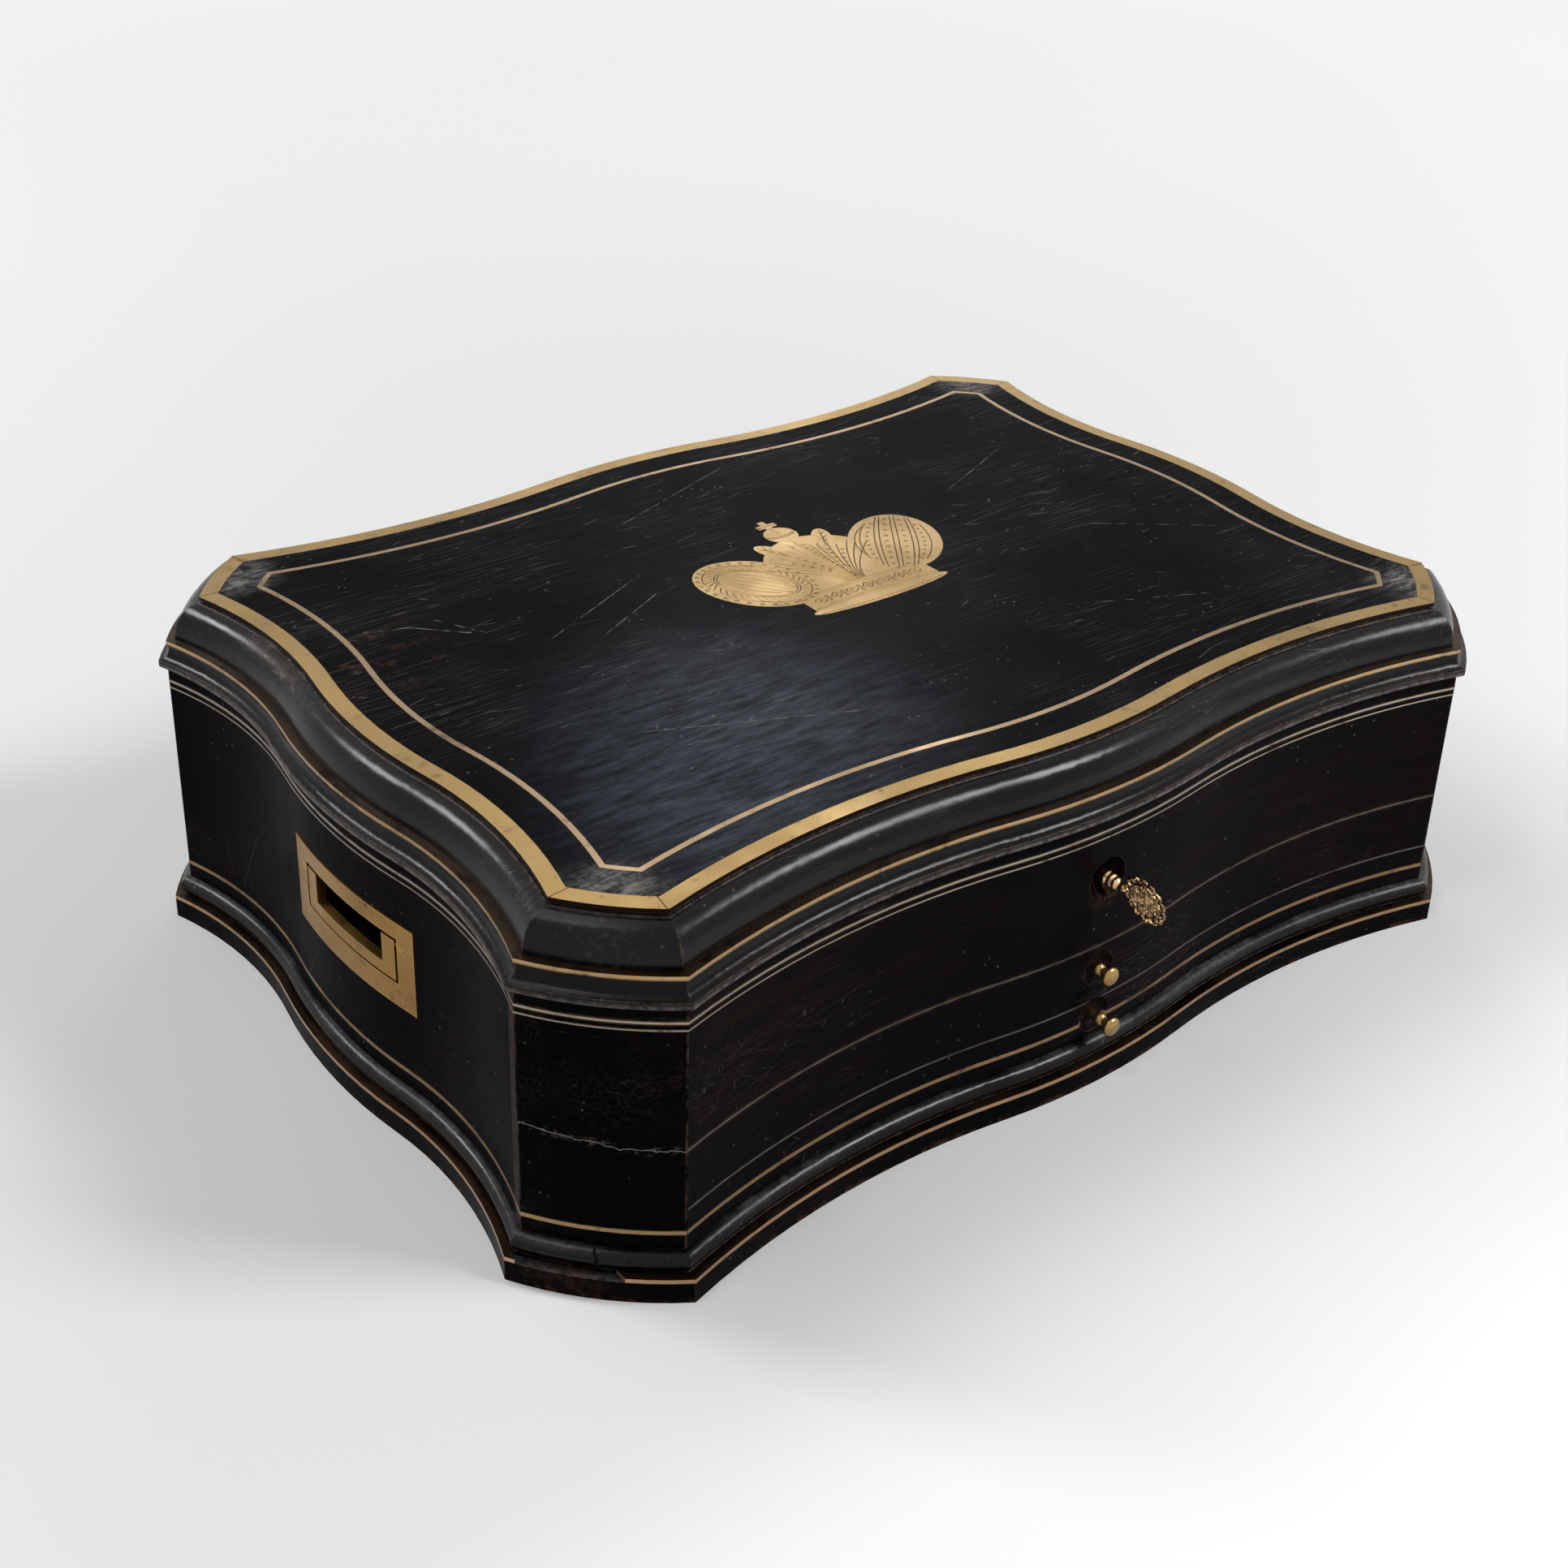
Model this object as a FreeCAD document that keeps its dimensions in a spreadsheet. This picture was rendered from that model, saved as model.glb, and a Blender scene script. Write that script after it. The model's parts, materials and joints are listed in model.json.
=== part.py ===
import FreeCAD, Part
import math
import os
from types import SimpleNamespace

import Sketcher
from FreeCAD import Placement, Rotation, Vector

# Artist's box: a black polished serpentine case on a plinth, with a hinged lid, two shallow
# drawers under the well, a box lock with its key, and a flush bail handle on each end.
# Millimetres, +Z up, the front faces -Y, and the origin is the centre of the base.

SIZES = {
    # Plan of the wall, measured from the centre of the box
    "front_trough": 157.5,
    "front_trough_x": 100.0,
    "front_bulge_rise": 8.0,
    "front_bulge_share": 0.4515,
    "side_trough": 221.5,
    "side_trough_y": 74.0,
    "side_bulge_rise": 6.8,
    "side_bulge_share": 0.57,
    "corner_front_x": 191.4,
    "corner_side_y": 129.9,
    "corner_crown": 3.0,
    # Walls and boards
    "front_wall": 13.5,
    "side_wall": 17.5,
    "plinth_height": 10.0,
    "plinth_reach": 6.5,
    "plinth_width": 20.5,
    "bead_height": 7.4,
    "bead_reach": 4.0,
    "bead_foot": 0.3,
    "bead_back": 8.0,
    "bead_crack": 0.7,
    "base_fillet_width": 3.8,
    "base_fillet_height": 1.6,
    "wall_top": 118.0,
    "well_floor_thickness": 4.0,
    "lining": 1.0,
    "lining_margin": 1.5,
    # Brass strings let into the wall
    "string_height": 1.6,
    "string_depth": 1.2,
    "string_proud": 0.1,
    "upper_string_level": 109.6,
    "lower_string_level": 24.4,
    "hairline_drop": 2.9,
    "hairline_height": 0.6,
    # Case lip and the mouldings of the lid, from the seam up
    "lip_reach": 3.0,
    "case_lip_height": 1.8,
    "lip_round": 0.6,
    "lid_gap": 0.2,
    "lid_lip_height": 1.1,
    "cove_height": 4.2,
    "neck_height": 1.8,
    "neck_inset": 1.0,
    "fillet_height": 1.8,
    "fillet_width": 3.7,
    "fillet_inset": 0.3,
    "ovolo_height": 13.1,
    "ovolo_foot_inset": 3.6,
    "edge_inset": 13.0,
    "edge_height": 0.4,
    "ovolo_margin": 0.4,
    "quirk_height": 1.0,
    "quirk_depth": 0.8,
    "band_inset": 13.5,
    "band_width": 6.8,
    "band_thickness": 1.6,
    "lid_string_inset": 33.9,
    "lid_string_width": 2.2,
    "inlay_thickness": 1.2,
    "inlay_x": 9.3,
    "inlay_foot_y": -26.0,
    "inlay_foot_width": 69.0,
    "inlay_foot_height": 9.0,
    "inlay_band_width": 64.0,
    "inlay_lobe_width": 40.0,
    "inlay_lobe_height": 54.0,
    "inlay_lobe_x": 36.5,
    "inlay_lobe_rise": 35.2,
    "inlay_lobe_angle": 35.0,
    "inlay_fan_width": 56.0,
    "inlay_fan_height": 62.0,
    "inlay_leaf_width": 9.0,
    "inlay_leaf_height": 20.0,
    "inlay_leaf_x": 12.6,
    "inlay_leaf_drop": 7.6,
    "inlay_leaf_angle": 25.0,
    "inlay_orb_radius": 7.5,
    "inlay_orb_sink": 2.5,
    "inlay_cross_rise": 15.2,
    "inlay_cross_bar": 3.2,
    "panel_thickness": 6.0,
    "lid_wall": 6.0,
    "lid_lining": 2.0,
    # Drawers
    "seam": 0.3,
    "lower_front_height": 16.0,
    "upper_front_height": 24.6,
    "divider_thickness": 2.8,
    "drawer_play": 0.4,
    "drawer_slack": 4.0,
    "drawer_board": 7.0,
    "drawer_bottom": 3.0,
    "upper_knob_level": 48.0,
    "lower_knob_level": 27.0,
    "lower_knob_out": 3.2,
    "knob_dish_radius": 7.6,
    "knob_dish_depth": 3.0,
    "knob_stem_radius": 1.5,
    "knob_stem_grip": 10.0,
    "knob_bead_radius": 2.6,
    "knob_bead_out": 0.4,
    "knob_head_radius": 3.9,
    "knob_head_thickness": 4.4,
    "knob_head_out": 6.0,
    # Lock and key
    "key_level": 88.0,
    "key_dish_radius": 9.0,
    "key_dish_depth": 6.5,
    "key_stem_radius": 1.7,
    "key_stem_play": 0.05,
    "key_end_gap": 1.1,
    "key_lean_angle": 12.0,
    "key_collar_radius": 2.9,
    "key_collar_out": 1.0,
    "key_neck_radius": 2.0,
    "key_neck_out": 5.4,
    "bow_radius": 10.4,
    "bow_out": 18.3,
    "bow_thickness": 2.2,
    "bow_beads": 12,
    "bow_bead_radius": 1.9,
    "bow_holes": 8,
    "bow_hole_radius": 1.7,
    "bow_hole_ring": 5.4,
    "bit_reach": 6.5,
    "bit_width": 4.0,
    "bit_thickness": 2.2,
    "keyhole_play": 0.5,
    "lock_width": 48.0,
    "lock_depth": 10.0,
    "lock_below_key": 10.0,
    "lock_sheet": 1.3,
    "lock_ear": 7.0,
    "lock_ear_margin": 6.0,
    "lock_play": 0.2,
    "bolt_thickness": 2.4,
    "bolt_height": 4.0,
    "bolt_throw": 5.0,
    "bolt_over_key": 9.0,
    "bolt_tail": 9.0,
    "lug_width": 3.0,
    "lug_height": 9.0,
    "tongue_height": 2.6,
    "tongue_gap": 0.8,
    "staple_spacing": 20.0,
    "staple_thickness": 2.0,
    "staple_rim": 1.6,
    "staple_play": 0.5,
    "staple_hole_over": 1.0,
    "staple_slot_play": 1.0,
    "link_plate_width": 44.0,
    "link_plate_depth": 12.0,
    "link_screw_margin": 4.0,
    # Hinges
    "hinge_x": 171.0,
    "hinge_length": 32.0,
    "leaf_thickness": 1.4,
    "leaf_reach": 24.0,
    "leaf_sink": 0.05,
    "knuckle_radius": 2.6,
    "knuckle_play": 0.3,
    "pin_radius": 1.2,
    "pin_play": 0.05,
    "pivot_out": 4.9,
    "screw_radius": 1.1,
    "screw_head_radius": 2.0,
    "screw_head_height": 0.8,
    "screw_length": 6.0,
    "screw_margin": 5.0,
    "screw_spacing": 10.5,
    # End handles
    "handle_shift": 9.5,
    "handle_width": 82.0,
    "handle_bottom": 52.0,
    "handle_height": 36.0,
    "handle_plate": 3.2,
    "handle_proud": 0.4,
    "bail_rim_bottom": 9.8,
    "bail_opening_width": 63.0,
    "bail_opening_height": 19.2,
    "bail_play": 0.8,
    "bail_side_play": 1.3,
    "bail_top_play": 1.2,
    "bail_arm": 7.2,
    "bail_grip": 5.0,
    "bail_pivot_drop": 3.6,
    "bail_pin_radius": 0.9,
    "bail_pin_play": 0.06,
    "bail_pin_grip": 4.0,
    "finger_depth": 14.0,
    # Compartment tray in the well
    "tray_front": 20.0,
    "tray_play": 0.8,
    "tray_board": 3.0,
    "tray_height": 26.0,
    "tray_below_rim": 6.0,
    "tray_channel": 42.0,
    "tray_cells": 6,
    "ledge_width": 6.0,
    "ledge_height": 4.0,
}

# How far a cutting shape runs past the face that it opens
SPILL = 1.0

doc = FreeCAD.newDocument("artist_box")
sheet = doc.addObject("Spreadsheet::Sheet", "sheet")
for row, (alias, value) in enumerate(SIZES.items(), 1):
    sheet.set("A%d" % row, alias)
    sheet.set("B%d" % row, str(value))
    sheet.setAlias("B%d" % row, alias)
doc.recompute()


class Cell:
    """A length worked out from the sheet: its value, and the expression that keeps it bound."""

    def __init__(self, text, value):
        self.text = text
        self.value = value

    def join(self, sign, other, value, swap=False):
        first, second = (cell(other), self) if swap else (self, cell(other))
        return Cell("(%s %s %s)" % (first.text, sign, second.text), value)

    def __add__(self, other):
        return self.join("+", other, self.value + cell(other).value)

    def __radd__(self, other):
        return self.join("+", other, self.value + cell(other).value, True)

    def __sub__(self, other):
        return self.join("-", other, self.value - cell(other).value)

    def __rsub__(self, other):
        return self.join("-", other, cell(other).value - self.value, True)

    def __mul__(self, other):
        return self.join("*", other, self.value * cell(other).value)

    def __rmul__(self, other):
        return self.join("*", other, self.value * cell(other).value, True)

    def __truediv__(self, other):
        return self.join("/", other, self.value / cell(other).value)

    def __rtruediv__(self, other):
        return self.join("/", other, cell(other).value / self.value, True)

    def __neg__(self):
        return Cell("(0 - %s)" % self.text, -self.value)


def cell(number):
    return number if isinstance(number, Cell) else Cell(repr(float(number)), float(number))


def root(square):
    return Cell("sqrt(%s)" % square.text, math.sqrt(square.value))


c = SimpleNamespace(**{alias: Cell("sheet." + alias, float(v)) for alias, v in SIZES.items()})


# Helpers: each makes one document object whose sizes are bound to the sheet

def bind(item, path, length):
    item.setExpression(path, cell(length).text)


derived = doc.addObject("App::VarSet", "derived")


def derive(name, length):
    """Keeps a worked-out length under a name of its own, so that expressions stay short."""
    derived.addProperty("App::PropertyFloat", name)
    bind(derived, name, length)
    return Cell("derived." + name, length.value)


def place(item, x=0, y=0, z=0):
    for axis, length in (("x", x), ("y", y), ("z", z)):
        length = cell(length)
        setattr(item.Placement.Base, axis, length.value)
        bind(item, "Placement.Base." + axis, length)
    return item


def box(name, x, y, z):
    """A block between two X, two Y and two Z levels."""
    block = doc.addObject("Part::Box", name)
    for side, (low, high) in zip(("Length", "Width", "Height"), (x, y, z)):
        bind(block, side, cell(high) - cell(low))
    return place(block, x[0], y[0], z[0])


def rod(name, direction, radius, length, x=0, y=0, z=0):
    """A cylinder that starts at x, y, z and runs along a direction."""
    cylinder = doc.addObject("Part::Cylinder", name)
    bind(cylinder, "Radius", radius)
    bind(cylinder, "Height", length)
    cylinder.Placement = Placement(Vector(), Rotation(Vector(0, 0, 1), Vector(*direction)))
    return place(cylinder, x, y, z)


def ball(name, radius, x=0, y=0, z=0):
    sphere = doc.addObject("Part::Sphere", name)
    bind(sphere, "Radius", radius)
    return place(sphere, x, y, z)


def joined(kind, name, base, tool):
    result = doc.addObject(kind, name)
    result.Base = base
    result.Tool = tool
    return result


def cut(name, base, *tools):
    """The base without its tools, which are made one first where there are several."""
    tool = tools[0] if len(tools) == 1 else fuse(name + "_tools", *tools)
    return joined("Part::Cut", name, base, tool)


def common(name, base, tool):
    return joined("Part::Common", name, base, tool)


def fuse(name, *pieces):
    whole = doc.addObject("Part::MultiFuse", name)
    whole.Shapes = list(pieces)
    return whole


def group(name, *pieces):
    """Separate solids, such as identical fasteners, kept in one object."""
    compound = doc.addObject("Part::Compound", name)
    compound.Links = list(pieces)
    return compound


# Plan of the box: each side is a convex bulge between two hollows, and the corners are canted

def serpentine(side, trough, trough_at, rise, share, corner_at):
    """The radii of the bulge and of the hollows, and how far out the side meets the corner."""
    both = derive(side + "_radii", (trough_at * trough_at + rise * rise) / (rise * 2))
    bulge = derive(side + "_bulge_radius", both * share)
    hollow = derive(side + "_hollow_radius", both - bulge)
    run = corner_at - trough_at
    corner = derive(side + "_corner", trough + hollow - root(hollow * hollow - run * run))
    return bulge, hollow, corner


front_radius, front_hollow, corner_front_y = serpentine(
    "front", c.front_trough, c.front_trough_x, c.front_bulge_rise, c.front_bulge_share, c.corner_front_x)
side_radius, side_hollow, corner_side_x = serpentine(
    "side", c.side_trough, c.side_trough_y, c.side_bulge_rise, c.side_bulge_share, c.corner_side_y)
front_bulge = derive("front_bulge", c.front_trough + c.front_bulge_rise)
side_bulge = derive("side_bulge", c.side_trough + c.side_bulge_rise)

cant_x = derive("cant_x", corner_side_x - c.corner_front_x)
cant_y = derive("cant_y", corner_front_y - c.corner_side_y)
cant_chord = derive("cant_chord", root(cant_x * cant_x + cant_y * cant_y))
cant_radius = derive("cant_radius", (cant_chord * cant_chord / 4 + c.corner_crown * c.corner_crown)
                     / (c.corner_crown * 2))
cant_back = derive("cant_back", (cant_radius - c.corner_crown) / cant_chord)
cant_centre_x = derive("cant_centre_x", (corner_side_x + c.corner_front_x) / 2 - cant_y * cant_back)
cant_centre_y = derive("cant_centre_y", (corner_front_y + c.corner_side_y) / 2 - cant_x * cant_back)


def crossing(first, first_radius, second, second_radius, near):
    """The point where two circles cross, the one nearer to a given point."""
    dx, dy = second[0] - first[0], second[1] - first[1]
    gap = math.hypot(dx, dy)
    along = (first_radius ** 2 - second_radius ** 2 + gap ** 2) / (2 * gap)
    aside = math.sqrt(max(0.0, first_radius ** 2 - along ** 2))
    middle = (first[0] + along * dx / gap, first[1] + along * dy / gap)
    points = [(middle[0] + k * aside * dy / gap, middle[1] - k * aside * dx / gap) for k in (1, -1)]
    return min(points, key=lambda point: math.dist(point, near))


def towards(first, second, distance):
    """The point at a distance from the first point, on the line to the second."""
    gap = math.dist(first, second)
    return tuple(a + (b - a) * distance / gap for a, b in zip(first, second))


def quarter_arcs(offset):
    """The five arcs from the front centre to the side centre of one quarter, with both ends.

    Each arc is its kind, centre, radius, start and end; X and Y are both counted outwards."""
    front_centre = (cell(0), front_bulge - front_radius)
    front_dip = (c.front_trough_x, c.front_trough + front_hollow)
    cant = (cant_centre_x, cant_centre_y)
    side_dip = (c.side_trough + side_hollow, c.side_trough_y)
    side_centre = (side_bulge - side_radius, cell(0))
    arcs = [["bulge", front_centre, front_radius + offset], ["front_dip", front_dip, front_hollow - offset],
            ["cant", cant, cant_radius + offset],
            ["side_dip", side_dip, side_hollow - offset], ["bulge", side_centre, side_radius + offset]]
    centres = [tuple(coordinate.value for coordinate in arc[1]) for arc in arcs]
    radii = [arc[2].value for arc in arcs]
    front_corner = (c.corner_front_x.value, corner_front_y.value)
    side_corner = (corner_side_x.value, c.corner_side_y.value)
    ends = [(0.0, centres[0][1] + radii[0]),
            towards(centres[0], centres[1], radii[0]),
            crossing(centres[1], radii[1], centres[2], radii[2], front_corner),
            crossing(centres[3], radii[3], centres[2], radii[2], side_corner),
            towards(centres[4], centres[3], radii[4]),
            (centres[4][0] + radii[4], 0.0)]
    return [arc + [ends[k], ends[k + 1]] for k, arc in enumerate(arcs)]


def ring_arcs(offset):
    """All sixteen arcs of the outline, anticlockwise from the front bulge."""
    quarter = quarter_arcs(offset)
    backwards = [[kind, centre, radius, end, start]
                 for kind, centre, radius, start, end in reversed(quarter)]
    ring = []
    for sign_x, sign_y, arcs in ((1, -1, quarter), (1, 1, backwards), (-1, 1, quarter), (-1, -1, backwards)):
        for kind, centre, radius, start, end in arcs:
            centre = (centre[0] * sign_x, centre[1] * sign_y)
            start, end = [(point[0] * sign_x, point[1] * sign_y) for point in (start, end)]
            if kind == "bulge" and ring and ring[-1][0] == "bulge":
                ring[-1][4] = end
            else:
                ring.append([kind, centre, radius, start, end])
    last = ring.pop()
    ring[0][3] = last[3]
    return ring


def outline(name, offset, level):
    """The box's outline as a sketch, moved out by an offset, at a level."""
    sketch = doc.addObject("Sketcher::SketchObject", name)
    ring = ring_arcs(cell(offset))
    curves = []
    for kind, centre, radius, start, end in ring:
        middle = Vector(centre[0].value, centre[1].value, 0)
        ends = [start, end] if kind in ("bulge", "cant") else [end, start]
        angles = [math.atan2(y - middle.y, x - middle.x) for x, y in ends]
        circle = Part.Circle(middle, Vector(0, 0, 1), radius.value)
        curves.append(Part.ArcOfCircle(circle, angles[0], angles[1]))
    sketch.addGeometry(curves, False)
    constraints = []
    formulas = []

    def hold(kind, point, length):
        """Holds a centre at a signed distance from the origin along X or Y."""
        ends = (-1, 1) + point if length.value >= 0 else point + (-1, 1)
        formulas.append((len(constraints), (length if length.value >= 0 else -length).text))
        constraints.append(Sketcher.Constraint(kind, *ends, abs(length.value)))

    for number, (kind, centre, radius, start, end) in enumerate(ring):
        formulas.append((len(constraints), radius.text))
        constraints.append(Sketcher.Constraint("Radius", number, radius.value))
        if kind == "bulge":
            upright = centre[0].value == 0
            constraints.append(Sketcher.Constraint("PointOnObject", number, 3, -2 if upright else -1))
            hold("DistanceY" if upright else "DistanceX", (number, 3), centre[1 if upright else 0])
        if kind in ("front_dip", "cant"):
            hold("DistanceX", (number, 3), centre[0])
        if kind in ("side_dip", "cant"):
            hold("DistanceY", (number, 3), centre[1])
        following = (number + 1) % len(ring)
        leaving = 2 if kind in ("bulge", "cant") else 1
        arriving = 1 if ring[following][0] in ("bulge", "cant") else 2
        meeting = "Coincident" if "cant" in (kind, ring[following][0]) else "Tangent"
        constraints.append(Sketcher.Constraint(meeting, number, leaving, following, arriving))
    sketch.addConstraint(constraints)
    for number, formula in formulas:
        sketch.setExpression("Constraints[%d]" % number, formula)
    return place(sketch, z=level)


def slab(name, offset, low, high):
    """A board with the box's outline, moved out by an offset, between two levels."""
    board = doc.addObject("Part::Extrusion", name)
    board.Base = outline(name + "_outline", offset, low)
    board.DirMode = "Normal"
    board.Solid = True
    bind(board, "LengthFwd", cell(high) - cell(low))
    return board


def ring(name, inner, outer, low, high):
    """A frame between two offsets and two levels."""
    return cut(name, slab(name + "_outer", outer, low, high), slab(name + "_inner", inner, low, high))


def moulding(name, stations, straight=False):
    """A solid through outlines, given as (offset, level) from the bottom up."""
    loft = doc.addObject("Part::Loft", name)
    loft.Sections = [outline("%s_outline%d" % (name, number), offset, level)
                     for number, (offset, level) in enumerate(stations)]
    loft.Solid = True
    loft.Ruled = straight
    return loft


parts = []


def keep(label, item):
    """Marks a finished piece, whose label names its file."""
    item.Label = label
    parts.append(item)
    return item


def span(half, middle=0):
    """A span of twice a half width about its middle."""
    return cell(middle) - half, cell(middle) + half


def beyond(low, high, sign):
    """A span between two distances on one side of zero."""
    near, far = cell(low) * sign, cell(high) * sign
    return (near, far) if sign > 0 else (far, near)


def aim(item, start, direction):
    """Stands a shape's own Z axis along a level direction, from a start point."""
    x, y, z = [cell(length).text for length in start]
    along_x, along_y = [cell(length).text for length in direction]
    item.setExpression("Placement", "placement(vector(%s; %s; %s); rotation(vector(0 - %s; %s; 0); 90))"
                       % (x, y, z, along_y, along_x))
    return item


def bend(middle, reach, height, first, last, steps=6):
    """Stations round an elliptical arc in section: its half axes, and its ends in degrees."""
    stations = []
    for step in range(steps + 1):
        angle = math.radians(first + (last - first) * step / steps)
        stations.append((middle[0] + reach * round(math.cos(angle), 9),
                         middle[1] + height * round(math.sin(angle), 9)))
    return stations


def dish(name, x, level, rim, depth):
    """A ball that hollows the front to a depth, with a rim of a given radius."""
    radius = derive(name + "_radius", (rim * rim + depth * depth) / (depth * 2))
    return ball(name, radius, x, depth - front_bulge - radius, level)


# Levels and half widths that several pieces share

interior_x = derive("interior_x", c.side_trough - c.side_wall)
interior_y = derive("interior_y", c.front_trough - c.front_wall)
reach_x = derive("reach_x", side_bulge + c.plinth_reach + SPILL)
reach_y = derive("reach_y", front_bulge + c.plinth_reach + SPILL)
bead_top = derive("bead_top", c.plinth_height + c.bead_height)
lower_front_low = derive("lower_front_low", bead_top + c.seam)
lower_front_high = derive("lower_front_high", lower_front_low + c.lower_front_height)
upper_front_low = derive("upper_front_low", lower_front_high + c.seam)
upper_front_high = derive("upper_front_high", upper_front_low + c.upper_front_height)
well_low = derive("well_low", upper_front_high + c.seam)
well_floor_top = derive("well_floor_top", well_low + c.well_floor_thickness)
front_half = derive("front_half", c.corner_front_x - c.seam)

# Base: a bottom board, the plinth with its brass fillet, and the bead under the wall

plinth_back = derive("plinth_back", c.plinth_reach - c.plinth_width)
keep("base_board", slab("base_board", plinth_back, 0, c.plinth_height))

fillet_low = c.plinth_height - c.base_fillet_height
fillet_ring = ring("fillet_ring", c.plinth_reach - c.base_fillet_width, c.plinth_reach,
                   fillet_low, c.plinth_height)
plinth_ring = ring("plinth_ring", plinth_back, c.plinth_reach, 0, c.plinth_height)
keep("plinth", cut("plinth", plinth_ring, fillet_ring))

# A piece of the brass is lost from the near left corner, between the cant's side end and its middle
cant_middle_x = derive("cant_middle_x", (corner_side_x + c.corner_front_x) / 2)
cant_middle_y = derive("cant_middle_y", (corner_front_y + c.corner_side_y) / 2)
lost_fillet = box("lost_fillet", (-reach_x, -cant_middle_x), (-reach_y, -c.corner_side_y),
                  (fillet_low - SPILL, c.plinth_height + SPILL))
keep("plinth_fillet", cut("plinth_fillet", fillet_ring, lost_fillet))

bead_middle = (c.bead_foot, c.plinth_height + c.bead_height / 2)
bead_section = bend(bead_middle, c.bead_reach - c.bead_foot, c.bead_height / 2, -90, 90)
bead_round = moulding("bead_round", bead_section)
bead_inside = slab("bead_inside", -c.bead_back, c.plinth_height - SPILL, bead_top + SPILL)
crack_length = c.bead_back + c.bead_reach + 2 * SPILL
bead_crack = doc.addObject("Part::Box", "bead_crack")
bind(bead_crack, "Length", c.bead_crack)
bind(bead_crack, "Width", c.bead_height + 2 * SPILL)
bind(bead_crack, "Height", crack_length)
outward = cant_y / cant_chord, cant_x / cant_chord
crack_start = [-cant_middle_x + (c.bead_back + SPILL) * outward[0],
               -cant_middle_y + (c.bead_back + SPILL) * outward[1],
               bead_top + SPILL]
aim(bead_crack, crack_start, (-outward[0], -outward[1]))
keep("base_bead", cut("base_bead", bead_round, bead_inside, bead_crack))

keep("case_bottom", slab("case_bottom", -c.bead_back, c.plinth_height, bead_top))

# Strings: brass lines let into the wall, whose own shape cuts their grooves

key_dish = dish("key_dish", 0, c.key_level, c.key_dish_radius, c.key_dish_depth)
upper_dish = dish("upper_dish", 0, c.upper_knob_level, c.knob_dish_radius, c.knob_dish_depth)
lower_dish = dish("lower_dish", 0, c.lower_knob_level, c.knob_dish_radius, c.knob_dish_depth)


def string(name, level, height):
    return ring(name, -c.string_depth, c.string_proud, level - height / 2, level + height / 2)


upper_string = keep("upper_string", string("upper_string", c.upper_string_level, c.string_height))
upper_hairline = keep("upper_hairline", string("upper_hairline", c.upper_string_level - c.hairline_drop,
                                               c.hairline_height))
lower_ring = cut("lower_ring", string("lower_ring_whole", c.lower_string_level, c.string_height), lower_dish)
drawer_gap = box("drawer_gap", span(c.corner_front_x), (-reach_y, -interior_y), (bead_top, well_low))
keep("lower_string", cut("lower_string", lower_ring, drawer_gap))

# End handles: a brass plate bent to the wall and a bail cut from the same blank

handle_top = derive("handle_top", c.handle_bottom + c.handle_height)
handle_y = span(c.handle_width / 2, -c.handle_shift)
opening_low = derive("opening_low", c.handle_bottom + c.bail_rim_bottom)
opening_top = derive("opening_top", opening_low + c.bail_opening_height)
opening_y = span(c.bail_opening_width / 2, -c.handle_shift)
bail_half = derive("bail_half", c.bail_opening_width / 2 - c.bail_side_play)
pivot_level = derive("pivot_level", opening_top - c.bail_pivot_drop)
blank_middle = derive("blank_middle", (c.handle_proud - c.handle_plate) / 2)
handle_ring = ring("handle_ring", -c.handle_plate, c.handle_proud, c.handle_bottom, handle_top)
handle_blanks = {}
bail_pins = {}
finger_recess = box("finger_recess", span(reach_x), opening_y, (opening_low, opening_top))
finger_floor = box("finger_floor", span(c.side_trough - c.finger_depth), span(reach_y),
                   (opening_low - SPILL, opening_top + SPILL))
finger_cut = cut("finger_cut", finger_recess, finger_floor)


def bulge_x(y, offset):
    """How far out the end wall stands at a place along it, moved out by an offset."""
    radius = side_radius + offset
    return side_bulge - side_radius + root(radius * radius - y * y)


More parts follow.
